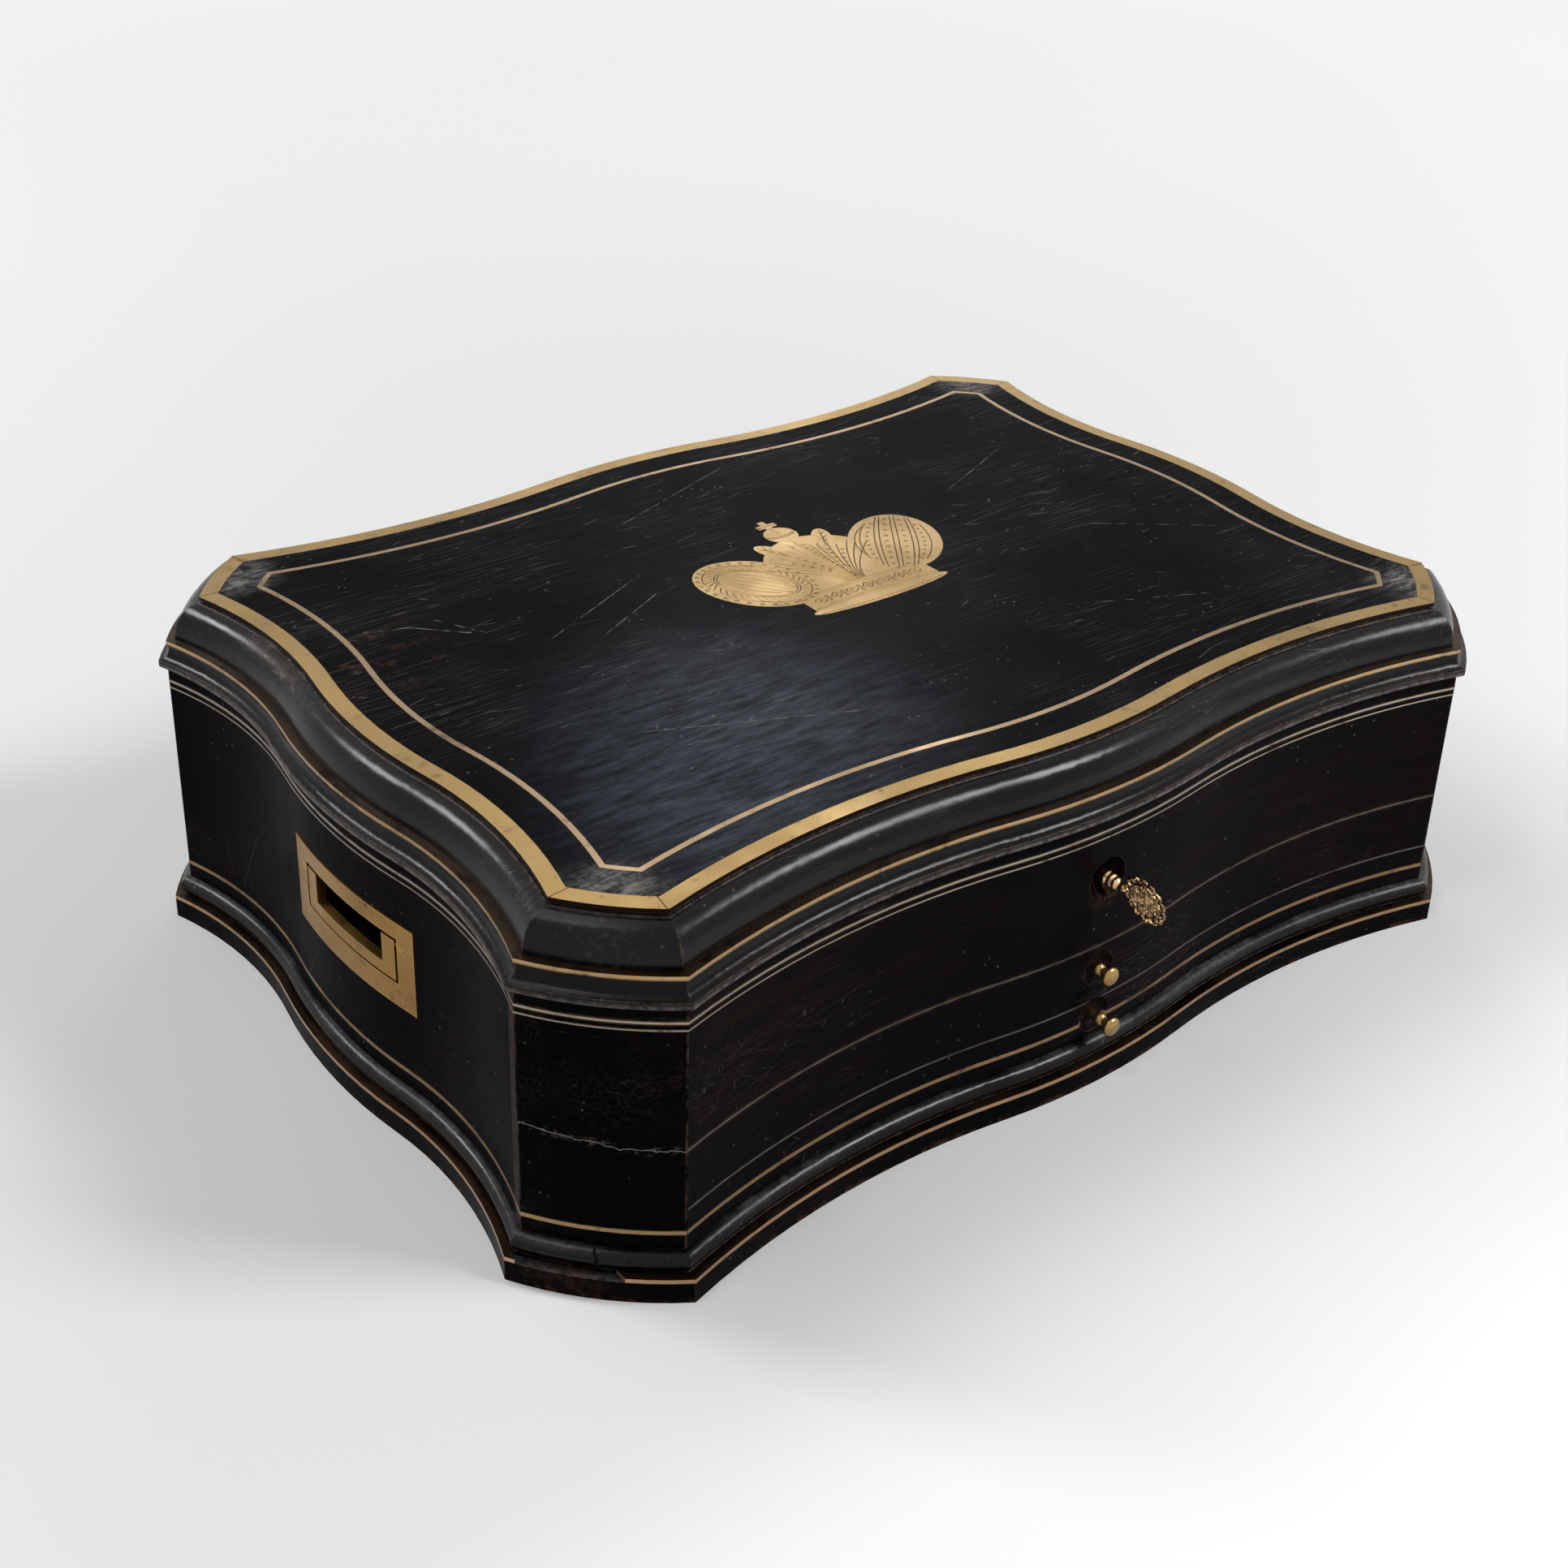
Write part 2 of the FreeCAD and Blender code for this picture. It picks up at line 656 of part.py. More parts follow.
def handle(side, sign):
    """One end's plate and bail, with the two pins that the bail swings on."""
    outside = beyond(0, reach_x, sign)
    reach_box = box("handle_reach_" + side, outside, handle_y, (c.handle_bottom, handle_top))
    blank = common("handle_blank_" + side, handle_ring, reach_box)
    handle_blanks[side] = blank
    middles = [y_sign * (bail_half - c.bail_arm / 2) - c.handle_shift for y_sign in (-1, 1)]
    near, far = [(derive("pin_x_%s_%d" % (side, k), bulge_x(y, blank_middle) * sign), y)
                 for k, y in enumerate(middles)]
    length = root((far[0] - near[0]) * (far[0] - near[0]) + (far[1] - near[1]) * (far[1] - near[1]))
    along = [derive("pin_%s_%s" % (letter, side), (b - a) / length)
             for letter, a, b in (("along", near[0], far[0]), ("across", near[1], far[1]))]
    reach = c.bail_arm / 2 + c.bail_side_play + c.bail_pin_grip
    pins = []
    bores = []
    for end, point, way in (("near", near, -1), ("far", far, 1)):
        start = (point[0], point[1], pivot_level)
        heading = (along[0] * way, along[1] * way)
        for pieces, word, radius in ((pins, "pin", c.bail_pin_radius),
                                     (bores, "bore", c.bail_pin_radius + c.bail_pin_play)):
            rod_of = doc.addObject("Part::Cylinder", "bail_%s_%s_%s" % (word, side, end))
            bind(rod_of, "Radius", radius)
            bind(rod_of, "Height", reach)
            pieces.append(aim(rod_of, start, heading))
    window = box("handle_window_" + side, outside, opening_y, (opening_low, opening_top))
    keep("handle_plate_" + side, cut("handle_plate_" + side, blank, window, *pins))
    grip_low = opening_low + c.bail_play
    bail_outer = box("bail_outer_" + side, outside, span(bail_half, -c.handle_shift),
                     (grip_low, opening_top - c.bail_top_play))
    bail_inner = box("bail_inner_" + side, outside, span(bail_half - c.bail_arm, -c.handle_shift),
                     (grip_low + c.bail_grip, opening_top))
    bail_shape = common("bail_shape_" + side, blank, bail_outer)
    keep("bail_" + side, cut("bail_" + side, bail_shape, bail_inner, *bores))
    bail_pins[side] = pins


handle("left", -1)
handle("right", 1)
keep("bail_pins", group("bail_pins", *bail_pins["left"], *bail_pins["right"]))

# Lock: a sheet brass box let into the front from inside, with a sliding bolt and two staple slots

lock_half = c.lock_width / 2
lock_front = derive("lock_front", -interior_y - c.lock_depth)
lock_low = derive("lock_low", c.key_level - c.lock_below_key)
bolt_y = derive("bolt_y", -interior_y - c.lock_depth / 2)
ear_half = derive("ear_half", lock_half + c.lock_ear)
ear_z = (lock_low + c.lock_ear_margin, c.wall_top - c.lock_ear_margin)
staples_x = [c.staple_spacing / 2 * sign for sign in (-1, 1)]
tongue_low = derive("tongue_low", c.key_level + c.bolt_over_key + c.bolt_height + c.lug_height
                    - c.tongue_height)
staple_half = derive("staple_half", c.bolt_thickness / 2 + c.staple_play + c.staple_rim)
staple_hole_low = derive("staple_hole_low", tongue_low - c.staple_hole_over)
staple_hole_top = derive("staple_hole_top", tongue_low + c.tongue_height + c.staple_hole_over)
lock_body = box("lock_body", span(lock_half), (lock_front, -interior_y), (lock_low, c.wall_top))
lock_ears = box("lock_ears", span(ear_half), (-interior_y - c.lock_sheet, -interior_y), ear_z)
lock_hollow = box("lock_hollow", span(lock_half - c.lock_sheet),
                  (lock_front + c.lock_sheet, -interior_y - c.lock_sheet),
                  (lock_low + c.lock_sheet, c.wall_top - c.lock_sheet))
staple_slots = [box("staple_slot%d" % number, span(c.staple_thickness / 2 + c.staple_slot_play, x),
                    span(staple_half + c.staple_slot_play, bolt_y),
                    (c.wall_top - c.lock_sheet - SPILL, c.wall_top + SPILL))
                for number, x in enumerate(staples_x)]
bit_swing = derive("bit_swing", c.key_stem_radius + c.bit_reach)
bit_slot = box("bit_slot", span(c.bit_thickness / 2 + c.keyhole_play), (-reach_y, bolt_y),
               (c.key_level - bit_swing - c.keyhole_play, c.key_level))
lock_bore = rod("lock_bore", (0, 1, 0), c.key_stem_radius + c.key_stem_play, reach_y - interior_y
                - c.lock_depth / 2, 0, -reach_y, c.key_level)
wood_bore = rod("wood_bore", (0, 1, 0), c.key_stem_radius + c.keyhole_play, reach_y - interior_y
                - c.lock_depth / 2, 0, -reach_y, c.key_level)
ear_screws = []
for x in span(ear_half - c.lock_ear / 2):
    for z in (ear_z[0] + c.screw_margin, ear_z[1] - c.screw_margin):
        ear_screws.append((x, -interior_y, z))


def screw(name, direction, head):
    """A countersunk screw whose head is flush at a point, and which runs along a direction."""
    top = rod(name + "_head", direction, c.screw_head_radius, c.screw_head_height, *head)
    shank = rod(name + "_shank", direction, c.screw_radius, c.screw_length, *head)
    return fuse(name, top, shank)


lock_screws = [screw("lock_screw%d" % k, (0, -1, 0), head) for k, head in enumerate(ear_screws)]
lock_shell = cut("lock_shell", fuse("lock_blank", lock_body, lock_ears), lock_hollow, *staple_slots)
keep("lock_case", cut("lock_case", lock_shell, bit_slot, lock_bore, *lock_screws))

bolt_low = c.key_level + c.bolt_over_key
bolt_span = span(c.bolt_thickness / 2, bolt_y)
bolt_pieces = []
for number, x in enumerate(staples_x):
    tip = x - c.staple_thickness / 2 - c.tongue_gap
    shoulder = tip - c.bolt_throw
    bolt_pieces.append(box("bolt_lug%d" % number, (shoulder - c.lug_width, shoulder), bolt_span,
                           (bolt_low, tongue_low + c.tongue_height)))
    bolt_pieces.append(box("bolt_tongue%d" % number, (shoulder - SPILL, tip), bolt_span,
                           (tongue_low, tongue_low + c.tongue_height)))
    if number == 0:
        bolt_tail = shoulder - c.lug_width
    bolt_nose = shoulder + c.bolt_tail
bolt_pieces.append(box("bolt_bar", (bolt_tail, bolt_nose), bolt_span, (bolt_low, bolt_low + c.bolt_height)))
keep("lock_bolt", fuse("lock_bolt", *bolt_pieces))

# Key: built along its own axis, then set at its level and turned a little

key_end = derive("key_end", -interior_y - c.lock_sheet - c.key_end_gap)
bow_y = derive("bow_y", -front_bulge - c.bow_out)
bow_inner = derive("bow_inner", c.bow_radius - c.bow_bead_radius)
neck_y = -front_bulge - c.key_neck_out
stem_start = bow_y + bow_inner
key_stem = rod("key_stem", (0, 1, 0), c.key_stem_radius, key_end - stem_start, 0, stem_start, 0)
key_bit = box("key_bit", span(c.bit_thickness / 2), span(c.bit_width / 2, bolt_y), (-bit_swing, 0))
key_collar = ball("key_collar", c.key_collar_radius, 0, -front_bulge - c.key_collar_out, 0)
key_neck = ball("key_neck", c.key_neck_radius, 0, neck_y, 0)


def bow_rods(name, count, ring_radius, radius):
    """Short rods through the bow, spaced evenly round its centre."""
    rods = []
    for number in range(int(count)):
        angle = 2 * math.pi * (number + 0.5) / count
        rods.append(rod("%s%d" % (name, number), (1, 0, 0), radius, c.bow_thickness, -c.bow_thickness / 2,
                        bow_y + ring_radius * round(math.cos(angle), 9),
                        ring_radius * round(math.sin(angle), 9)))
    return rods


bow_disc = rod("bow_disc", (1, 0, 0), bow_inner, c.bow_thickness, -c.bow_thickness / 2, bow_y, 0)
bow_beads = bow_rods("bow_bead", SIZES["bow_beads"], bow_inner, c.bow_bead_radius)
bow_holes = bow_rods("bow_hole", SIZES["bow_holes"], c.bow_hole_ring, c.bow_hole_radius)
bow_eye = rod("bow_eye", (1, 0, 0), c.bow_hole_radius, c.bow_thickness, -c.bow_thickness / 2, bow_y, 0)
key_bow = cut("key_bow", fuse("bow_blank", bow_disc, *bow_beads), bow_eye, *bow_holes)
key = keep("key", fuse("key", key_stem, key_bit, key_collar, key_neck, key_bow))
key.setExpression("Placement", "placement(vector(0; 0; %s); rotation(vector(0; -1; 0); %s))"
                  % (c.key_level.text, c.key_lean_angle.text))

# Hinges: two butt hinges let into the back, with leaves that lie flat when the lid is shut

lid_bottom = derive("lid_bottom", c.wall_top + c.lid_gap)
pivot_y = derive("pivot_y", corner_front_y + c.pivot_out)
pivot_z = derive("pivot_z", c.wall_top + c.lid_gap / 2)
leaf_y = (pivot_y - c.leaf_reach, pivot_y - c.knuckle_radius - c.knuckle_play)
case_leaf_top = derive("case_leaf_top", c.wall_top - c.leaf_sink)
lid_leaf_low = derive("lid_leaf_low", lid_bottom + c.leaf_sink)
leaf_levels = {"case": (case_leaf_top - c.leaf_thickness, case_leaf_top),
               "lid": (lid_leaf_low, lid_leaf_low + c.leaf_thickness)}
hinge_screws = {"case": [], "lid": []}
hinge_pins = []
leaf_seats = {"case": [], "lid": []}


def hinge(side, sign):
    """One hinge: a leaf with the outer knuckles, a leaf with the middle one, and the pin."""
    middle = c.hinge_x * sign
    ends = span(c.hinge_length / 2, middle)
    inner = span(c.hinge_length / 6, middle)
    gap = c.knuckle_play / 2
    thirds = {"case": [(ends[0], inner[0] - gap), (inner[1] + gap, ends[1])],
              "lid": [(inner[0] + gap, inner[1] - gap)]}
    pin = rod("hinge_pin_" + side, (1, 0, 0), c.pin_radius, c.hinge_length, ends[0], pivot_y, pivot_z)
    hinge_pins.append(pin)
    for leaf, levels in leaf_levels.items():
        name = "hinge_leaf_%s_%s" % (leaf, side)
        pieces = [box(name + "_plate", ends, leaf_y, levels)]
        for number, (low, high) in enumerate(thirds[leaf]):
            pieces.append(box("%s_arm%d" % (name, number), (low, high),
                              (leaf_y[1] - SPILL, pivot_y), levels))
            pieces.append(rod("%s_knuckle%d" % (name, number), (1, 0, 0), c.knuckle_radius, high - low,
                              low, pivot_y, pivot_z))
        bore = pin
        if leaf == "lid":
            bore = rod("hinge_bore_" + side, (1, 0, 0), c.pin_radius + c.pin_play, c.hinge_length,
                       ends[0], pivot_y, pivot_z)
        head_z = levels[1] if leaf == "case" else levels[0]
        screws = [screw("%s_screw%d" % (name, k + 1), (0, 0, -1 if leaf == "case" else 1),
                        (middle + c.screw_spacing * k, leaf_y[0] + c.screw_margin, head_z))
                  for k in (-1, 0, 1)]
        hinge_screws[leaf] += screws
        leaf_seats[leaf].append(box(name + "_seat", ends, (leaf_y[0], reach_y), (levels[0], pivot_z))
                                if leaf == "case" else
                                box(name + "_seat", ends, (leaf_y[0], reach_y), (pivot_z, levels[1])))
        keep(name, cut(name, fuse(name + "_blank", *pieces), bore, *screws))


hinge("left", -1)
hinge("right", 1)
keep("hinge_pins", group("hinge_pins", *hinge_pins))
keep("case_screws", group("case_screws", *lock_screws, *hinge_screws["case"]))

# Wall: one hollow blank, from which the boards, the posts and the drawer fronts are cut

lock_mortise = box("lock_mortise", span(lock_half + c.lock_play), (lock_front - c.lock_play, -interior_y),
                   (lock_low - c.lock_play, c.wall_top + SPILL))
interior = box("interior", span(interior_x), span(interior_y), (bead_top - SPILL, c.wall_top + SPILL))
wall = cut("wall", slab("wall_blank", 0, bead_top, c.wall_top), interior)
back_y = (interior_y, reach_y)
front_y = (-reach_y, -interior_y)
front_x = span(c.corner_front_x)
full_height = (bead_top, c.wall_top)
wall_lines = group("wall_lines", upper_string, upper_hairline, lower_ring)


def board(name, x, y, z, cutters):
    """A piece of the wall between two levels each way, with what is let into it."""
    region = box(name + "_region", x, y, z)
    return keep(name, cut(name, common(name + "_blank", wall, region), *cutters))


for side, sign in (("left", -1), ("right", 1)):
    board("side_" + side, beyond(interior_x, reach_x, sign), span(c.corner_side_y), full_height,
          [wall_lines, handle_blanks[side], finger_cut] + bail_pins[side])
    for end, end_sign in (("front", -1), ("back", 1)):
        board("corner_post_%s_%s" % (end, side), beyond(c.corner_front_x, reach_x, sign),
              beyond(c.corner_side_y, reach_y, end_sign), full_height, [wall_lines])
board("back_panel", front_x, back_y, full_height,
      [wall_lines] + leaf_seats["case"] + hinge_screws["case"])
board("front_panel", front_x, front_y, (well_low, c.wall_top),
      [upper_string, upper_hairline, key_dish, lock_mortise, lock_ears, wood_bore, bit_slot] + lock_screws)

lip_low = c.wall_top - c.case_lip_height
lip_section = [(c.lip_reach - c.lip_round, lip_low), (c.lip_reach, lip_low + c.lip_round),
               (c.lip_reach, c.wall_top)]
lip_blank = moulding("lip_blank", lip_section, True)
keep("case_lip", cut("case_lip", lip_blank, slab("lip_inside", 0, lip_low - SPILL, c.wall_top + SPILL),
                     *leaf_seats["case"]))

# Inside of the case: guides and divider for the drawers, and the lined well above them

divider_middle = lower_front_high + c.seam / 2
divider_low = derive("divider_low", divider_middle - c.divider_thickness / 2)
divider_top = derive("divider_top", divider_low + c.divider_thickness)
keep("well_floor", box("well_floor", span(interior_x), span(interior_y), (well_low, well_floor_top)))
keep("drawer_divider", box("drawer_divider", span(front_half), (c.seam - interior_y, interior_y),
                           (divider_low, divider_top)))
for side, sign in (("left", -1), ("right", 1)):
    keep("guide_" + side, box("guide_" + side, beyond(front_half, interior_x, sign), span(interior_y),
                              (bead_top, well_low)))

lining_top = derive("lining_top", c.wall_top - c.lining_margin)
lined_x = derive("lined_x", interior_x - c.lining)
lined_y = derive("lined_y", interior_y - c.lining)
lining_blank = box("lining_blank", span(interior_x), span(interior_y), (well_floor_top, lining_top))
lining_hollow = box("lining_hollow", span(lined_x), span(lined_y),
                    (well_floor_top + c.lining, lining_top + SPILL))
lock_window = box("lock_window", span(ear_half + c.lock_play), (-interior_y, c.lining - lined_y),
                  (lock_low - c.lock_play, lining_top + SPILL))
keep("well_lining", cut("well_lining", lining_blank, lining_hollow, lock_window))

# Tray: a brush channel in front of a row of cells, on ledges at the back of the well

tray_x = derive("tray_x", lined_x - c.tray_play)
tray_back = derive("tray_back", lined_y - c.tray_play)
tray_top = derive("tray_top", c.wall_top - c.tray_below_rim)
tray_low = derive("tray_low", tray_top - c.tray_height)
cell_front = derive("cell_front", c.tray_front + c.tray_board * 2 + c.tray_channel)
tray_inner_x = derive("tray_inner_x", tray_x - c.tray_board)
tray_inner_back = derive("tray_inner_back", tray_back - c.tray_board)
tray_floor_top = derive("tray_floor_top", tray_low + c.tray_board)
tray_blank = box("tray_blank", span(tray_x), (c.tray_front, tray_back), (tray_low, tray_top))
tray_hollow = box("tray_hollow", span(tray_inner_x), (c.tray_front + c.tray_board, tray_inner_back),
                  (tray_low - SPILL, tray_top + SPILL))
keep("tray_frame", cut("tray_frame", tray_blank, tray_hollow))
keep("tray_bottom", box("tray_bottom", span(tray_inner_x), (c.tray_front + c.tray_board, tray_inner_back),
                        (tray_low, tray_floor_top)))
keep("tray_divider_long", box("tray_divider_long", span(tray_inner_x),
                              (cell_front - c.tray_board, cell_front), (tray_floor_top, tray_top)))
cell_pitch = derive("cell_pitch", (tray_inner_x * 2 + c.tray_board) / c.tray_cells)
dividers = []
for number in range(1, SIZES["tray_cells"]):
    left = cell_pitch * number - tray_inner_x - c.tray_board
    dividers.append(box("cell_divider%d" % number, (left, left + c.tray_board),
                        (cell_front, tray_inner_back), (tray_floor_top, tray_top)))
keep("tray_dividers_cross", group("tray_dividers_cross", *dividers))
ledges = [box("ledge_" + side, beyond(lined_x - c.ledge_width, lined_x, sign), (c.tray_front, lined_y),
              (tray_low - c.ledge_height, tray_low)) for side, sign in (("left", -1), ("right", 1))]
keep("tray_ledges", group("tray_ledges", *ledges))

# Drawers: a serpentine front cut from the wall, a carcass, a bottom and a turned knob

carcass_half = derive("carcass_half", front_half - c.drawer_play)
carcass_back = derive("carcass_back", interior_y - c.drawer_slack)


def knob(name, level, further_out):
    """A turned brass knob: a stem held in the wood, a bead and a flattened head."""
    bead_y = -front_bulge - c.knob_bead_out - further_out
    head_y = bead_y - c.knob_head_out
    dish_bottom = c.knob_dish_depth - front_bulge
    stem = rod(name + "_stem", (0, 1, 0), c.knob_stem_radius, dish_bottom + c.knob_stem_grip - head_y,
               0, head_y, level)
    head = doc.addObject("Part::Ellipsoid", name + "_head")
    bind(head, "Radius1", c.knob_head_thickness / 2)
    bind(head, "Radius2", c.knob_head_radius)
    aim(head, (0, head_y, level), (0, -1))
    return keep(name, fuse(name, stem, ball(name + "_bead", c.knob_bead_radius, 0, bead_y, level), head))


def drawer(name, front_levels, carcass_levels, knob_level, further_out, cutters):
    """One drawer: its front is the wall between two levels, and its box runs back from it."""
    title = "drawer_" + name
    board(title + "_front", span(front_half), front_y, front_levels,
          cutters + [knob("knob_" + name, knob_level, further_out)])
    low, top = carcass_levels
    blank = box(title + "_blank", span(carcass_half), (-interior_y, carcass_back), carcass_levels)
    inside = span(carcass_half - c.drawer_board)
    hollow = box(title + "_hollow", inside, (-interior_y - SPILL, carcass_back - c.drawer_board),
                 (low - SPILL, top + SPILL))
    keep(title + "_carcass", cut(title + "_carcass", blank, hollow))
    keep(title + "_bottom", box(title + "_bottom", inside, (-interior_y, carcass_back - c.drawer_board),
                                (low, low + c.drawer_bottom)))


drawer("upper", (upper_front_low, upper_front_high), (divider_top + c.drawer_play, upper_front_high),
       c.upper_knob_level, 0, [upper_dish, lower_dish])
drawer("lower", (lower_front_low, lower_front_high), (lower_front_low, divider_low - c.drawer_play),
       c.lower_knob_level, c.lower_knob_out, [lower_ring, lower_dish])
string_gap = box("string_gap", span(front_half), front_y, (lower_front_low, lower_front_high))
keep("drawer_lower_string", common("drawer_lower_string", lower_ring, string_gap))

# Lid, from the seam up: a moulded rim, the frame with its ovolo, the brass, and the panel

lid_inner_x = derive("lid_inner_x", interior_x - c.lid_wall)
lid_inner_y = derive("lid_inner_y", interior_y - c.lid_wall)
cove_low = derive("cove_low", lid_bottom + c.lid_lip_height)
neck_low = derive("neck_low", cove_low + c.cove_height)
frame_low = derive("frame_low", neck_low + c.neck_height)
ovolo_low = derive("ovolo_low", frame_low + c.fillet_height)
edge_low = derive("edge_low", ovolo_low + c.ovolo_height)
quirk_low = derive("quirk_low", edge_low + c.edge_height)
band_low = derive("band_low", quirk_low + c.quirk_height)
lid_top = derive("lid_top", band_low + c.band_thickness)
panel_low = derive("panel_low", lid_top - c.panel_thickness)
panel_inset = derive("panel_inset", c.band_inset + c.band_width)
neck_offset = derive("neck_offset", -c.neck_inset)

# The link plate's staples hang from the lid into the lock
plate_y = span(c.link_plate_depth / 2, bolt_y)
plate_pieces = [box("link_plate_flat", span(c.link_plate_width / 2), plate_y, leaf_levels["lid"])]
staple_holes = []
for number, x in enumerate(staples_x):
    plate_pieces.append(box("staple%d" % number, span(c.staple_thickness / 2, x), span(staple_half, bolt_y),
                            (staple_hole_low - c.staple_rim, lid_leaf_low + c.leaf_thickness)))
    staple_holes.append(box("staple_hole%d" % number, span(c.staple_thickness / 2 + SPILL, x),
                            span(staple_half - c.staple_rim, bolt_y), (staple_hole_low, staple_hole_top)))
link_screws = [screw("link_screw%d" % k, (0, 0, 1), (x, bolt_y, lid_leaf_low))
               for k, x in enumerate(span(c.link_plate_width / 2 - c.link_screw_margin))]
link_seat = box("link_seat", span(c.link_plate_width / 2), plate_y, (pivot_z, leaf_levels["lid"][1]))
keep("link_plate", cut("link_plate", fuse("link_plate_blank", *plate_pieces), *staple_holes, *link_screws))
keep("lid_screws", group("lid_screws", *link_screws, *hinge_screws["lid"]))

lid_mouth = box("lid_mouth", span(lid_inner_x), span(lid_inner_y), (lid_bottom - SPILL, lid_top))
lip_slab = slab("lip_slab", c.lip_reach, lid_bottom, cove_low)
cove = moulding("cove", bend((c.lip_reach, neck_low), neck_offset - c.lip_reach, -c.cove_height, 90, 0))
neck_slab = slab("neck_slab", neck_offset, neck_low, frame_low)
keep("lid_rim", cut("lid_rim", fuse("rim_blank", lip_slab, cove, neck_slab), lid_mouth, link_seat,
                    *leaf_seats["lid"], *link_screws, *hinge_screws["lid"]))

fillet_outer = -c.fillet_inset
fillet_inner = derive("fillet_inner", fillet_outer - c.fillet_width)
keep("lid_fillet", ring("lid_fillet", fillet_inner, fillet_outer, frame_low, ovolo_low))
ovolo_top_offset = c.ovolo_margin - c.edge_inset
ovolo = moulding("ovolo", bend((ovolo_top_offset, ovolo_low), -ovolo_top_offset - c.ovolo_foot_inset,
                               c.ovolo_height, 0, 90))
frame_pieces = [slab("frame_core", fillet_inner, frame_low, ovolo_low), ovolo,
                slab("frame_edge", -c.edge_inset, edge_low, quirk_low),
                slab("frame_quirk", -c.band_inset - c.quirk_depth, quirk_low, band_low)]
panel_rebate = slab("panel_rebate", -panel_inset, panel_low, lid_top)
keep("lid_frame", cut("lid_frame", fuse("frame_blank", *frame_pieces), lid_mouth, panel_rebate))
keep("lid_band", ring("lid_band", -panel_inset, -c.band_inset, band_low, lid_top))
keep("lid_lining", box("lid_lining", span(lid_inner_x), span(lid_inner_y),
                       (panel_low - c.lid_lining, panel_low)))

# Inlay: a plain closed crown of ovals, with a band on a curved foot, an orb and a cross

inlay_low = derive("inlay_low", lid_top - c.inlay_thickness)
inlay_levels = (inlay_low, lid_top)


def oval(name, width, height, x, y, angle=0):
    """An oval plate of the inlay, about its middle, with its top leaning to the left by an angle."""
    rim = doc.addObject("Part::Ellipse", name + "_rim")
    upright = height.value > width.value
    bind(rim, "MajorRadius", (height if upright else width) / 2)
    bind(rim, "MinorRadius", (width if upright else height) / 2)
    turn = cell(angle) + (90 if upright else 0)
    rim.setExpression("Placement", "placement(vector(%s; %s; %s); rotation(vector(0; 0; 1); %s))"
                      % (x.text, cell(y).text, inlay_low.text, turn.text))
    plate = doc.addObject("Part::Extrusion", name)
    plate.Base = rim
    plate.DirMode = "Normal"
    plate.Solid = True
    bind(plate, "LengthFwd", c.inlay_thickness)
    return plate


bar_half = c.inlay_cross_bar / 2
foot_middle = c.inlay_foot_y + c.inlay_foot_height / 2
fan_y = foot_middle + c.inlay_fan_height / 2
fan_top = fan_y + c.inlay_fan_height / 2
lobe_y = foot_middle + c.inlay_lobe_rise
spray_y = fan_top - c.inlay_leaf_drop
orb_y = derive("orb_y", fan_top + c.inlay_orb_radius - c.inlay_orb_sink)
cross_top = orb_y + c.inlay_cross_rise
inlay_pieces = [
    oval("inlay_foot", c.inlay_foot_width, c.inlay_foot_height, c.inlay_x, foot_middle),
    box("inlay_band", span(c.inlay_band_width / 2, c.inlay_x), (foot_middle, lobe_y), inlay_levels),
    oval("inlay_fan", c.inlay_fan_width, c.inlay_fan_height, c.inlay_x, fan_y),
    rod("inlay_orb", (0, 0, 1), c.inlay_orb_radius, c.inlay_thickness, c.inlay_x, orb_y, inlay_low),
    box("inlay_upright", span(bar_half, c.inlay_x), (orb_y, cross_top), inlay_levels),
    box("inlay_crossbar", span(bar_half * 3, c.inlay_x),
        (cross_top - c.inlay_cross_bar * 2, cross_top - c.inlay_cross_bar), inlay_levels)]
for side, sign in (("left", -1), ("right", 1)):
    inlay_pieces.append(oval("inlay_lobe_" + side, c.inlay_lobe_width, c.inlay_lobe_height,
                             c.inlay_x + c.inlay_lobe_x * sign, lobe_y, c.inlay_lobe_angle * -sign))
    inlay_pieces.append(oval("inlay_leaf_" + side, c.inlay_leaf_width, c.inlay_leaf_height,
                             c.inlay_x + c.inlay_leaf_x * sign, spray_y, c.inlay_leaf_angle * -sign))
inlay = keep("lid_inlay", fuse("lid_inlay", *inlay_pieces))

string_inner = -c.lid_string_inset - c.lid_string_width
lid_string = keep("lid_string", ring("lid_string", string_inner, -c.lid_string_inset,
                                     lid_top - c.string_depth, lid_top))
panel_blank = slab("panel_blank", -panel_inset, panel_low, lid_top)
keep("lid_panel", cut("lid_panel", panel_blank, lid_string, inlay))

# Check every object, then write each piece to its own file

doc.recompute()
failed = [item.Label for item in doc.Objects if "Invalid" in item.State or "Error" in item.State]
for item in parts:
    if item.Shape.isNull() or not item.Shape.isValid() or item.Shape.Volume <= 0:
        failed.append(item.Label)
if failed:
    raise RuntimeError("these objects failed: " + ", ".join(failed))

os.makedirs("parts", exist_ok=True)
for item in parts:
    item.Shape.exportStep("parts/%s.step" % item.Label)
print("%d pieces written" % len(parts))
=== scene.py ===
import json
import math

import bmesh
import bpy
from mathutils import Matrix, Vector
from mathutils.geometry import delaunay_2d_cdt


